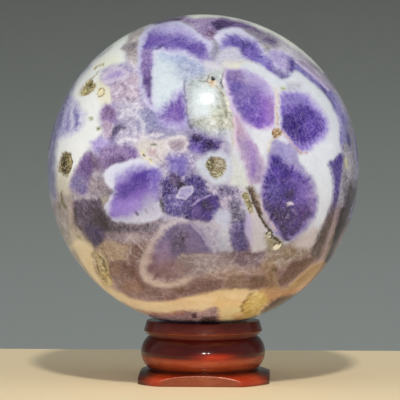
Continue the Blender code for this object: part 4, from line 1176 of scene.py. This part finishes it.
patch([(18, -44.6), (19.4, -43.8), (19, -42.8), (20.4, -43.4), (19.6, -46)], "#6d4a33", mottle=0.4,
      edge=0.6, cover=0.8)

# Lower right: stripes of dark brown, pinkish grey and ochre that follow the ball's edge.
patch([(34.6, -18), (36.6, -19), (35.4, -23.2), (32, -24.8), (28.6, -24), (30.6, -22)], "#c6bcbe",
      mottle=0.2, edge=0.8)
patch([(38.2, -16.4), (41, -13), (41.6, -16), (39.6, -20.6), (37.8, -25), (36.4, -27.8), (34.2, -27),
       (35, -23.6), (36.8, -19.6)], "#53434d", mottle=0.45, edge=0.6, ragged=0.3)
vein([(42.8, -12), (41.4, -17), (39.8, -22), (38.6, -26.6), (36.6, -29)], "#a28f95", 1.4, 0.5, ragged=0.3,
     cover=0.85)
patch([(43.4, -12.6), (46, -13), (44.6, -18), (42.4, -22.6), (40.4, -27.4), (38.6, -29.6), (38.6, -27.4),
       (40.2, -22.6), (42, -17.6)], "#4c403f", mottle=0.35)
patch([(45.6, -17.4), (47, -18), (60, -22), (48, -40), (41, -29.6), (42.4, -24.6)], "#988c82", mottle=0.25,
      edge=0.6)
patch([(26.4, -30.6), (29, -28.6), (33, -27.8), (35.4, -27.4), (34.4, -29.4), (31.4, -31.8), (28, -34.6),
       (26, -36.2), (24.4, -36.2), (23.8, -34.6), (25.6, -32.6)], "#694a47", mottle=0.35, edge=0.35,
      ragged=0.15)
patch([(38, -29), (40, -29.6), (44, -30), (38, -42), (29, -46), (25.6, -40), (26.4, -38), (28.4, -35.4),
       (31.6, -32.4), (34.6, -30)], "#a38158", mottle=0.25, fade=((33, -33), (35, -36), "#b6886a"))
patch([(33, -31.4), (36, -30), (36.4, -31.4), (33, -34.4), (30, -36.4), (28, -37), (29, -35)], "#9a7b4b",
      edge=0.7, cover=0.8)
vein([(27.4, -36.2), (30.4, -33.6), (34, -30.6), (37.4, -28.8)], "#b79d88", 0.8, 0.4, cover=0.7)
vein([(22.6, -31), (22.8, -34.6), (24, -37), (27, -37.6)], "#b7a596", 0.4, 0.4, ragged=0.6, cover=0.35)
patch([(18, -45.8), (20.2, -43), (22.4, -41), (25.4, -39.9), (29.4, -39), (34, -37.6), (31, -43), (24, -48),
       (18.6, -49)], "#4d3338")

# The far sides and the top, where the front's bands run out among crystals in pale quartz. A place
# is in millimetres along the skin from the middle of that side.
plane = side_plane(FACE_TURN + 90, 0)
patch([(-3, 38), (9, 36), (17, 27), (13, 17), (17, 6), (12, -4), (14, -12), (5, -15), (-3, -9), (4, -2),
       (-3, 6), (3, 13), (-3, 20), (4, 28)], "#b4adc4", mottle=0.4, edge=1.6, ragged=1.0, veil=0.5)
patch([(-3, -12), (8, -10), (18, -14), (20, -24), (10, -30), (3, -26), (-3, -20), (2, -16)], "#8f757c",
      mottle=0.4, edge=1.4, ragged=0.8, veil=0.3)
patch([(1, -27), (10, -29), (20, -25), (23, -33), (12, -40), (2, -36)], "#cdb184", mottle=0.25, edge=1.0,
      ragged=0.5)
crystal(shield, (8, 22), 11, 25, "#6c57a5", "#4c3882")
crystal(drop, (9.5, 0), 11, -20, "#5e4d97", "#402e70")
crystal(wedge, (11, -19), 9, 15, "#7d6a8c", "#5f4f7a", rim="#b8a69f")
crystal(arch, (3, 44), 8, -30, "#8677b0", "#6150a0")
vein([(-20, -3), (-14, -5), (-9, -3), (-3, -5), (3, -3)], "#8c8496", 1.8, 1.0, ragged=0.9)
vein([(-16, -15), (-10, -18), (-4, -16), (2, -18)], "#75676a", 1.8, 1.0, ragged=0.9)
crystal(drop, (-9, 8), 7, -15, "#6a5f9a", "#4f4486", rim="#a8a4bc", rim_width=1.2)
crystal(wedge, (-9, -11), 6, 60, "#5d5068", "#43384e", rim="#837884", rim_width=1.2)
vein([(-18, 18), (-12, 21), (-5, 17), (1, 20)], "#b9b3c6", 1.0, 0.7, ragged=0.7, cover=0.7)
vein([(-13, -21), (-8, -25), (-2, -24)], "#a89a92", 1.0, 0.7, ragged=0.7, cover=0.7)
plane = side_plane(FACE_TURN - 90, 0)
patch([(3, 38), (-9, 37), (-16, 28), (-13, 16), (-17, 5), (-12, -5), (-15, -13), (-6, -15), (3, -10),
       (-4, -3), (3, 4), (-3, 11), (3, 18), (-4, 26)], "#b9b4c8", mottle=0.4, edge=1.6, ragged=1.0,
      veil=0.5)
patch([(3, -13), (-8, -11), (-17, -14), (-21, -23), (-11, -30), (-3, -27), (3, -21), (-2, -17)], "#957b74",
      mottle=0.4, edge=1.4, ragged=0.8, veil=0.3)
patch([(-1, -28), (-10, -29), (-19, -26), (-23, -34), (-12, -40), (-2, -37)], "#cdb184", mottle=0.25,
      edge=1.0, ragged=0.5)
crystal(arch, (-9, 23), 10, -12, "#7d66ab", "#5f4d98")
crystal(shield, (-9.5, 1), 11, 20, "#62509b", "#46337a")
crystal(drop, (-11, -19), 9, 38, "#705f93", "#51417a", rim="#bcb2bd")
vein([(1, -9), (6, -11), (11, -8), (16, -10)], "#aca6ad", 1.8, 1.0, ragged=0.9)
crystal(drop, (8, 13), 8, 15, "#706b9c", "#58528c", rim="#a9a8c0", rim_width=1.2)
vein([(2, 30), (7, 26), (13, 28), (18, 24)], "#b4b4c8", 1.0, 0.7, ragged=0.7, cover=0.7)
vein([(3, -18), (8, -21), (14, -19)], "#8d8074", 1.0, 0.7, ragged=0.7, cover=0.6)
plane = side_plane(FACE_TURN, 90)
patch([(-32, 4), (-16, 1), (0, 2), (16, 1), (32, 3), (35, 12), (20, 18), (2, 14), (-16, 19), (-33, 14)],
      "#bab5c9", mottle=0.4, edge=1.2, ragged=0.6, veil=0.5)
crystal(drop, (-17, 9), 9, 75, "#7a68a8", "#5b4a92")
crystal(shield, (3, 10), 8, 110, "#6c57a5", "#4c3882")
crystal(wedge, (21, 10), 9, 10, "#8a7cb4", "#6a5aa0")
plane = side_plane(FACE_TURN, FACE_DIP, FACE_DISTANCE)


def sink(near, depth, deep, fray=0.2, roughened=1.0):
    """Lowers the skin into a pocket with a floor of rough little crystals."""
    share = step(-0.15, 0.45, depth + fray * fleck[near])
    grit[near] = np.maximum(grit[near], share * roughened)
    dent[near] = np.maximum(dent[near], share * deep * (0.8 + 0.5 * crumb[near]))


def pocket(outline, tone, deep):
    """Opens a pocket in the polished skin, in one tone."""
    patch(outline, tone, mottle=0.7, edge=0.3, ragged=0.3)
    near, depth = depth_inside(smooth_path(outline, True), True, 1.2)
    sink(near, depth, deep)


def crack(path, width, tone, deep):
    """Opens a crack along a path."""
    vein(path, tone, width, 0.3, ragged=0.1, cover=0.95, mottle=0.3)
    near, depth = depth_inside(smooth_path(path, False), False, width + 1.2)
    sink(near, depth + width / 2, deep, fray=0.05, roughened=0.45)


# Open pockets and cracks, each lined with tiny rough crystals stained olive, gold or brown.
pocket([(-43.5, 6), (-42, 5.2), (-41.2, 2.5), (-42, 0), (-43.2, -2), (-44.6, -1.2), (-45.8, 0.5),
        (-45.4, 3), (-44.6, 5)], "#857a56", 0.7)
vein([(-44.8, 3.8), (-44.4, 1.4), (-44.2, -0.6)], "#4b412c", 0.8, 0.3, ragged=0.4)
# A painted highlight on the pocket's crystals.
vein([(-42.6, 4.2), (-42.2, 2)], "#c4b688", 0.7, 0.3, ragged=0.3)
pocket([(-39.2, 24), (-37.8, 26.8), (-36, 28.8), (-34.8, 28.4), (-33.8, 27), (-34.8, 25.2), (-36.4, 23.8),
        (-38, 23.5)], "#ada27a", 0.5)
# A painted highlight on this pocket's crystals.
vein([(-37.9, 24.8), (-37.2, 25.3)], "#cfce8d", 0.7, 0.3)
vein([(-36.2, 26.6), (-35.4, 27.6)], "#5f5b3a", 0.6, 0.3, ragged=0.3)
vein([(-37.4, 26.2), (-36.6, 25)], "#716a44", 0.4, 0.3, ragged=0.3, cover=0.7)
vein([(-35.3, 28.9), (-34.3, 29.8), (-33.1, 31.3)], "#a08f66", 0.35, 0.25, ragged=0.25)
vein([(-34.5, 31.7), (-33.4, 32.8), (-31.2, 33.6)], "#aa9c62", 0.4, 0.3, ragged=0.2)
patch([(-33.1, 25), (-32.3, 25.5), (-31.5, 24.9), (-31.6, 24), (-32.6, 23.8)], "#e4dcbc", edge=0.35)
vein([(-33.4, 24.3), (-33, 25.3), (-32.2, 25.7), (-31.4, 25.2), (-31.2, 24.2)], "#a78f62", 0.35, 0.2,
     ragged=0.3, cover=0.85)
vein([(-32.9, 23.5), (-32.2, 23.4), (-31.6, 23.7)], "#a08a62", 0.35, 0.2, ragged=0.3, cover=0.75)
pocket([(-33.6, 13.8), (-32.6, 14), (-32.4, 13), (-33.2, 12.7)], "#a5a780", 0.25)
pocket([(-36, 16.8), (-35.2, 17), (-34.9, 16.2), (-35.6, 15.9)], "#b3b79e", 0.2)
pocket([(0.8, 2.2), (2.2, 3.9), (3.8, 4.6), (5.8, 4.1), (7.1, 2.5), (7.1, 0.4), (6.1, -1.6), (4.5, -2.4),
        (3, -1.9), (1.8, -0.4), (0.9, 0.8)], "#a59c85", 0.5)
patch([(0.9, 2.2), (2.4, 3.8), (3.4, 2.6), (2.8, 0.6), (1.6, 0.2)], "#6d6a4c", mottle=0.9, edge=0.4,
      cover=0.8)
vein([(1.6, 2.6), (2.4, 1.4)], "#cbc5a4", 0.5, 0.3, ragged=0.4)
patch([(3.8, -0.6), (6.2, -0.4), (5.4, -2), (4, -1.9)], "#9b9b7b", mottle=0.8, cover=0.8)
pocket([(21.7, 12.2), (22, 10.6), (23, 9.9), (24.1, 10.6), (24.9, 11.2), (24.6, 13), (23.4, 13.5),
        (22.2, 13.2)], "#b9a080", 0.2)
vein([(22, 12.8), (22.3, 11.2), (23.2, 10.4)], "#8a6745", 0.4, 0.3, ragged=0.3)
vein([(24, 12.6), (24.4, 11.6)], "#877f58", 0.5, 0.3)
vein([(22, 9.8), (20.8, 8.4), (20.2, 6.2)], "#cfcab0", 0.6, 0.3)
pocket([(12.6, -7.4), (14, -7), (15, -8.8), (16, -11.6), (15.6, -13.4), (14.4, -13), (13.6, -10.8),
        (12.8, -9)], "#b5ad8b", 0.3)
vein([(13, -8), (13.8, -8.6), (13.2, -9.6)], "#6d6344", 0.4, 0.25, ragged=0.3)
vein([(14, -10.4), (14.9, -10.2), (15.1, -11.6), (14.4, -12.2)], "#6f6a3c", 0.45, 0.25, ragged=0.3)
patch([(13.6, -5.4), (15.6, -5), (17.4, -7.6), (18, -11), (16.6, -10.8), (15.2, -8.4)], "#77675f",
      mottle=0.6, cover=0.85, ragged=0.4)
crack([(14.9, -6.2), (15.8, -8.4), (16.6, -10.8), (18.2, -14.2)], 1.3, "#5d4b42", 0.35)
crack([(16.8, -11.4), (18.2, -14.2), (20.6, -18.4), (22.5, -21), (24.8, -23.2)], 0.9, "#55443a", 0.35)
vein([(15.7, -6.8), (16.9, -9.6), (18.7, -13.6), (21.4, -18.6)], "#8f7c70", 0.35, 0.3, cover=0.75)
vein([(17.6, -9), (19, -12.4), (21, -15.8), (23, -18.9)], "#cbbcc4", 0.7, 0.4, ragged=0.3, cover=0.85)
patch([(20, -20.4), (20.6, -19.4), (21.6, -19.4), (21.8, -20.6), (21, -21.2)], "#cfcbb8", edge=0.25)
vein([(20.1, -20.2), (20.4, -19.3), (21.3, -19), (22, -19.8), (21.6, -20.9), (20.8, -21.1)],
     "#3f3a30", 0.35, 0.2, ragged=0.25, cover=0.9)
vein([(20.8, -20.2), (21.2, -20.2)], "#3a352c", 0.4, 0.2)
# A painted sparkle of light on the pocket's crystals, with a painted brown shadow along its two sides.
patch([(21.9, -24), (22.8, -23.4), (24, -23.5), (25, -23), (24.6, -24.4), (23.2, -25)], "#efe8d6", edge=0.3)
vein([(21.7, -23.9), (22.6, -23.2), (23.8, -23.1), (25, -22.9)], "#5c5142", 0.3, 0.2, ragged=0.3)
vein([(23.2, -25.1), (24.2, -24.9), (25, -24)], "#5c5142", 0.3, 0.2, ragged=0.3)

# The bored hole: a short straight drilling with a worn edge.
hole = smooth_path([(2.5, 29.3), (3, 29.8), (3.7, 29.5), (3.8, 28.8), (3.2, 28.4), (2.6, 28.7)], True)
near, depth = depth_inside(hole, True, 1.0)
share = step(-0.25, 0.2, depth)
# The near-black inside of the hole is painted shade.
stone[near] += (linear("#12120c") - stone[near]) * share[:, None]
dent[near] = np.maximum(dent[near], share * 0.8)
grit[near] = np.maximum(grit[near], share)

# Deep tones are made deeper, and pale ones stay pale. Then comes a last balance of red, green and blue by
# height in millimetres, fitted to how the render's rows of tone differed from the photograph's: paler and
# bluer towards the underside, a little deeper high up.
stone = 0.965 * stone ** 1.19
# Painted light: the underside is made paler, to stand in for the light it lacks, and bluer against the warm
# light from the floor; high up the tones are a little deeper.
heights = (-49, -44, -36, -28, -20, -12, -4, 4, 12, 20, 28, 36, 46)
reds = (1.9, 1.75, 1.28, 1.06, 0.96, 0.98, 1.05, 1.04, 0.98, 0.96, 0.91, 0.94, 1.06)
greens = (2.1, 1.95, 1.36, 1.1, 1.0, 1.0, 1.08, 1.06, 1.0, 0.98, 0.93, 0.97, 1.13)
blues = (2.6, 2.4, 1.4, 1.18, 1.1, 1.08, 1.11, 1.09, 1.03, 0.98, 0.92, 0.95, 1.04)
for k, shares in enumerate((reds, greens, blues)):
    stone[:, k] *= np.interp(skin[:, 2], heights, shares)
stone = np.clip(stone, 0, 0.92)

points = normals * (BALL_RADIUS - dent)[:, None] * MM
ball_mesh.vertices.foreach_set("co", points.ravel())
tone_layer = ball_mesh.attributes.new("stone_tone", "FLOAT_COLOR", "POINT")
tone_layer.data.foreach_set("color", np.concatenate((stone, np.ones((count, 1))), 1).ravel())
for name, values in (("frost", frost), ("grit", grit)):
    layer = ball_mesh.attributes.new(name, "FLOAT", "POINT")
    layer.data.foreach_set("value", values)
ball_mesh.update()
ball_mesh.shade_smooth()
ball = bpy.data.objects.new("amethyst_ball", ball_mesh)
ball.location = (0, 0, BALL_CENTRE * MM)
bpy.context.scene.collection.objects.link(ball)

# Polished amethyst: milky stone whose painted tones are broken up by fine clouding, tiny specks and
# healed cracks, under a mirror polish. It gives the eye a sharp small highlight, and the open
# pockets stay dull and sparkle a little. Clouding runs at 0.8 mm and healed cracks at 2 mm, specks
# are 1.3 mm apart, and the crystals that line the pockets are 0.7 mm across.
amethyst, tree, shader = new_finish("polished_amethyst")
place = add(tree, "ShaderNodeTexCoord").outputs["Object"]
laid_tone = add(tree, "ShaderNodeAttribute", {"attribute_name": "stone_tone"})
gritty = add(tree, "ShaderNodeAttribute", {"attribute_name": "grit"})
frosted = add(tree, "ShaderNodeAttribute", {"attribute_name": "frost"})
clouding = add(tree, "ShaderNodeTexNoise", inputs={
    "Vector": place, "Scale": 1300.0, "Detail": 3.0, "Roughness": 0.6, "Distortion": 0.6,
})
cloud_swing = add(tree, "ShaderNodeMapRange", inputs={
    "Value": clouding.outputs["Fac"], "From Min": 0.3, "From Max": 0.7, "To Min": -0.5, "To Max": 0.5,
})
cloud_strength = add(tree, "ShaderNodeMapRange", inputs={
    "Value": frosted.outputs["Fac"], "From Min": 0.0, "From Max": 1.0, "To Min": 0.2, "To Max": 0.9,
})
depth_of_tone = add(tree, "ShaderNodeMath", {"operation": "MULTIPLY_ADD"}, {
    0: cloud_swing.outputs["Result"], 1: cloud_strength.outputs["Result"], 2: 1.0,
})
clouded = add(tree, "ShaderNodeGamma", inputs={
    "Color": laid_tone.outputs["Color"], "Gamma": depth_of_tone.outputs["Value"],
})
crazing = add(tree, "ShaderNodeTexNoise", inputs={
    "Vector": place, "Scale": 520.0, "Detail": 4.0, "Roughness": 0.6, "Distortion": 0.8,
})
crazing_side = add(tree, "ShaderNodeMath", {"operation": "SUBTRACT"}, {0: crazing.outputs["Fac"], 1: 0.5})
crazing_gap = add(tree, "ShaderNodeMath", {"operation": "ABSOLUTE"}, {0: crazing_side.outputs["Value"]})
crazing_line = add(tree, "ShaderNodeMapRange", inputs={
    "Value": crazing_gap.outputs["Value"], "From Min": 0.0, "From Max": 0.022, "To Min": 0.3, "To Max": 0.0,
})
crazing_share = add(tree, "ShaderNodeMath", {"operation": "MULTIPLY"}, {
    0: crazing_line.outputs["Result"], 1: frosted.outputs["Fac"],
})
crazed = add(tree, "ShaderNodeMix", {"data_type": "RGBA"}, {
    "Factor": crazing_share.outputs["Value"], "A": clouded.outputs["Color"], "B": (*linear("#ded9e8"), 1.0),
})
speck_cells = add(tree, "ShaderNodeTexVoronoi", inputs={"Vector": place, "Scale": 800.0, "Randomness": 1.0})
speck_size = add(tree, "ShaderNodeMapRange", inputs={
    "Value": speck_cells.outputs["Distance"], "From Min": 0.12, "From Max": 0.3,
    "To Min": 0.45, "To Max": 0.0,
})
speck_pick = add(tree, "ShaderNodeSeparateColor", inputs={"Color": speck_cells.outputs["Color"]})
speck_few = add(tree, "ShaderNodeMath", {"operation": "GREATER_THAN"}, {
    0: speck_pick.outputs["Red"], 1: 0.72,
})
speck_share = add(tree, "ShaderNodeMath", {"operation": "MULTIPLY"}, {
    0: speck_size.outputs["Result"], 1: speck_few.outputs["Value"],
})
speck_frost = add(tree, "ShaderNodeMath", {"operation": "MULTIPLY"}, {
    0: speck_share.outputs["Value"], 1: frosted.outputs["Fac"],
})
healed = add(tree, "ShaderNodeMix", {"data_type": "RGBA"}, {
    "Factor": speck_frost.outputs["Value"], "A": crazed.outputs["Result"], "B": (*linear("#5d5368"), 1.0),
})
grain_cells = add(tree, "ShaderNodeTexVoronoi", inputs={"Vector": place, "Scale": 1500.0})
grain_tone = add(tree, "ShaderNodeMapRange", inputs={
    "Value": grain_cells.outputs["Distance"], "From Min": 0.0, "From Max": 0.7,
    "To Min": 0.45, "To Max": 1.35,
})
gritted = add(tree, "ShaderNodeGamma", inputs={
    "Color": healed.outputs["Result"], "Gamma": grain_tone.outputs["Result"],
})
stone_colour = add(tree, "ShaderNodeMix", {"data_type": "RGBA"}, {
    "Factor": gritty.outputs["Fac"], "A": healed.outputs["Result"], "B": gritted.outputs["Color"],
})
polish = add(tree, "ShaderNodeMapRange", inputs={
    "Value": gritty.outputs["Fac"], "From Min": 0.0, "From Max": 0.8, "To Min": 0.07, "To Max": 0.62,
})
rough_height = add(tree, "ShaderNodeMath", {"operation": "MULTIPLY"}, {
    0: grain_cells.outputs["Distance"], 1: gritty.outputs["Fac"],
})
rough_bump = add(tree, "ShaderNodeBump", inputs={
    "Height": rough_height.outputs["Value"], "Strength": 0.9, "Distance": 0.0005,
})
tree.links.new(stone_colour.outputs["Result"], shader.inputs["Base Color"])
tree.links.new(polish.outputs["Result"], shader.inputs["Roughness"])
tree.links.new(rough_bump.outputs["Normal"], shader.inputs["Normal"])
shader.inputs["IOR"].default_value = 1.54

ball_mesh.materials.append(amethyst)
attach(ball, "root")
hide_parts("ball")


# The floor that the piece stands on, and a backdrop well behind it. Neither is part of the object.
# The backdrop darkens upwards from just below the floor's level to the top of the frame, a painted falloff
# of light.
FLOOR_HALF_WIDTH = 900
FLOOR_BACK_EDGE = 94
BACKDROP_HALF_WIDTH = 1500
BACKDROP_DISTANCE = 700
BACKDROP_FOOT = -400
BACKDROP_TOP = 1500


def flat_sheet(name, corners, tone, roughness):
    """A flat four-cornered sheet in one plain tone. Returns the node tree of its finish."""
    mesh = bpy.data.meshes.new(name)
    mesh.from_pydata([[value * MM for value in corner] for corner in corners], [], [(0, 1, 2, 3)])
    finish, tree, shader = new_finish(name)
    shader.inputs["Base Color"].default_value = (*linear(tone), 1.0)
    shader.inputs["Roughness"].default_value = roughness
    mesh.materials.append(finish)
    sheet = bpy.data.objects.new(name, mesh)
    bpy.context.scene.collection.objects.link(sheet)
    return tree


flat_sheet("pale_floor", [
    (-FLOOR_HALF_WIDTH, -FLOOR_HALF_WIDTH, 0), (FLOOR_HALF_WIDTH, -FLOOR_HALF_WIDTH, 0),
    (FLOOR_HALF_WIDTH, FLOOR_BACK_EDGE, 0), (-FLOOR_HALF_WIDTH, FLOOR_BACK_EDGE, 0),
], "#f3e0b8", 0.5)
tree = flat_sheet("grey_backdrop", [
    (side * BACKDROP_HALF_WIDTH, BACKDROP_DISTANCE, height)
    for side, height in ((-1, BACKDROP_FOOT), (1, BACKDROP_FOOT), (1, BACKDROP_TOP), (-1, BACKDROP_TOP))
], "#868c88", 0.9)
sheet_place = add(tree, "ShaderNodeTexCoord").outputs["Object"]
sheet_height = add(tree, "ShaderNodeSeparateXYZ", inputs={"Vector": sheet_place})
rise = add(tree, "ShaderNodeMapRange", inputs={
    "Value": sheet_height.outputs["Z"], "From Min": -0.06, "From Max": 0.22, "To Min": 0.0, "To Max": 1.0,
})
dusk = add(tree, "ShaderNodeMix", {"data_type": "RGBA"}, {
    "Factor": rise.outputs["Result"], "A": (*linear("#9aa09c"), 1.0), "B": (*linear("#666a67"), 1.0),
})
tree.links.new(dusk.outputs["Result"], tree.nodes["Principled BSDF"].inputs["Base Color"])


# The light: a small round key light high in front, whose image is the sharp spot on the ball, three
# wide weak ones, in front and at both sides, that lift the underside and the edges without a mirror
# image of their own, and even grey surroundings.
def lamp(name, turn, rise, distance, aim_height, size, power, tone):
    """A round area light: turn and rise in degrees as seen from the point on the axis that it lights."""
    aim = np.array((0.0, 0.0, aim_height))
    place = aim + distance * direction(FACE_TURN + turn, rise)
    light = bpy.data.lights.new(name, "AREA")
    light.shape = "DISK"
    light.size = size * MM
    light.energy = power
    light.color = linear(tone)
    holder = bpy.data.objects.new(name, light)
    holder.location = Vector(place) * MM
    holder.rotation_euler = (Vector(aim) * MM - holder.location).to_track_quat("-Z", "Y").to_euler()
    bpy.context.scene.collection.objects.link(holder)
    return holder


lamp("key", 3.4, 49.5, 600, BALL_CENTRE, 48, 2.25, "#fffaf4")
for name, turn, rise, distance, size, power, tone in (
    ("front_fill", 0, 0.5, 900, 700, 1.9, "#f6f6ff"),
    ("left_fill", -78, 12, 700, 600, 2.15, "#fafaff"),
    ("right_fill", 78, 12, 700, 600, 2.15, "#fafaff"),
):
    lamp(name, turn, rise, distance, BALL_CENTRE, size, power, tone).visible_glossy = False

# Two small low lamps that reach the stand alone: their images are the two glints on its bulge.
GLINT_HEIGHT = 10
stand_only = bpy.data.collections.new("lit_by_the_glint_lamps")
stand_only.objects.link(stand)
for name, turn, size, power in (("glint_near", 1.7, 64, 0.5), ("glint_far", 10.5, 40, 0.24)):
    glint = lamp(name, turn, 15, 600, GLINT_HEIGHT, size, power, "#fff6ee")
    glint.light_linking.receiver_collection = stand_only

world = bpy.data.worlds.new("surroundings")
world.use_nodes = True
world.node_tree.nodes["Background"].inputs["Color"].default_value = (0.29, 0.30, 0.30, 1.0)
bpy.context.scene.world = world
bpy.context.scene.view_settings.view_transform = "Standard"


# The camera stands where the photograph was taken from: half a metre off, a little below the ball's
# middle and all but level. PIXEL is the size of one picture point at the axis, in millimetres, and
# FOOT_AT is where the middle of the foot's underside lies in the frame, from its left and its top.
PIXEL = 0.316
VIEW_HEIGHT = 59.0
FRAME = 400
FOOT_AT = (203.1, 379.5)
SENSOR_WIDTH = 36.0
turn = math.radians(FACE_TURN)
across = Vector((math.cos(turn), math.sin(turn), 0))
toward_eye = Vector((math.sin(turn), -math.cos(turn), 0))
camera = bpy.data.cameras.new("camera")
camera.sensor_width = SENSOR_WIDTH
camera.lens = SENSOR_WIDTH * FACE_DISTANCE / (FRAME * PIXEL)
eye = bpy.data.objects.new("camera", camera)
eye.location = (toward_eye * FACE_DISTANCE + Vector((0, 0, VIEW_HEIGHT))) * MM
aim_right = (FRAME / 2 - FOOT_AT[0]) * PIXEL
aim_height = (FOOT_AT[1] - FRAME / 2) * PIXEL
aim = (across * aim_right + Vector((0, 0, aim_height))) * MM
eye.rotation_euler = (aim - eye.location).to_track_quat("-Z", "Y").to_euler()
bpy.context.scene.collection.objects.link(eye)
bpy.context.scene.camera = eye
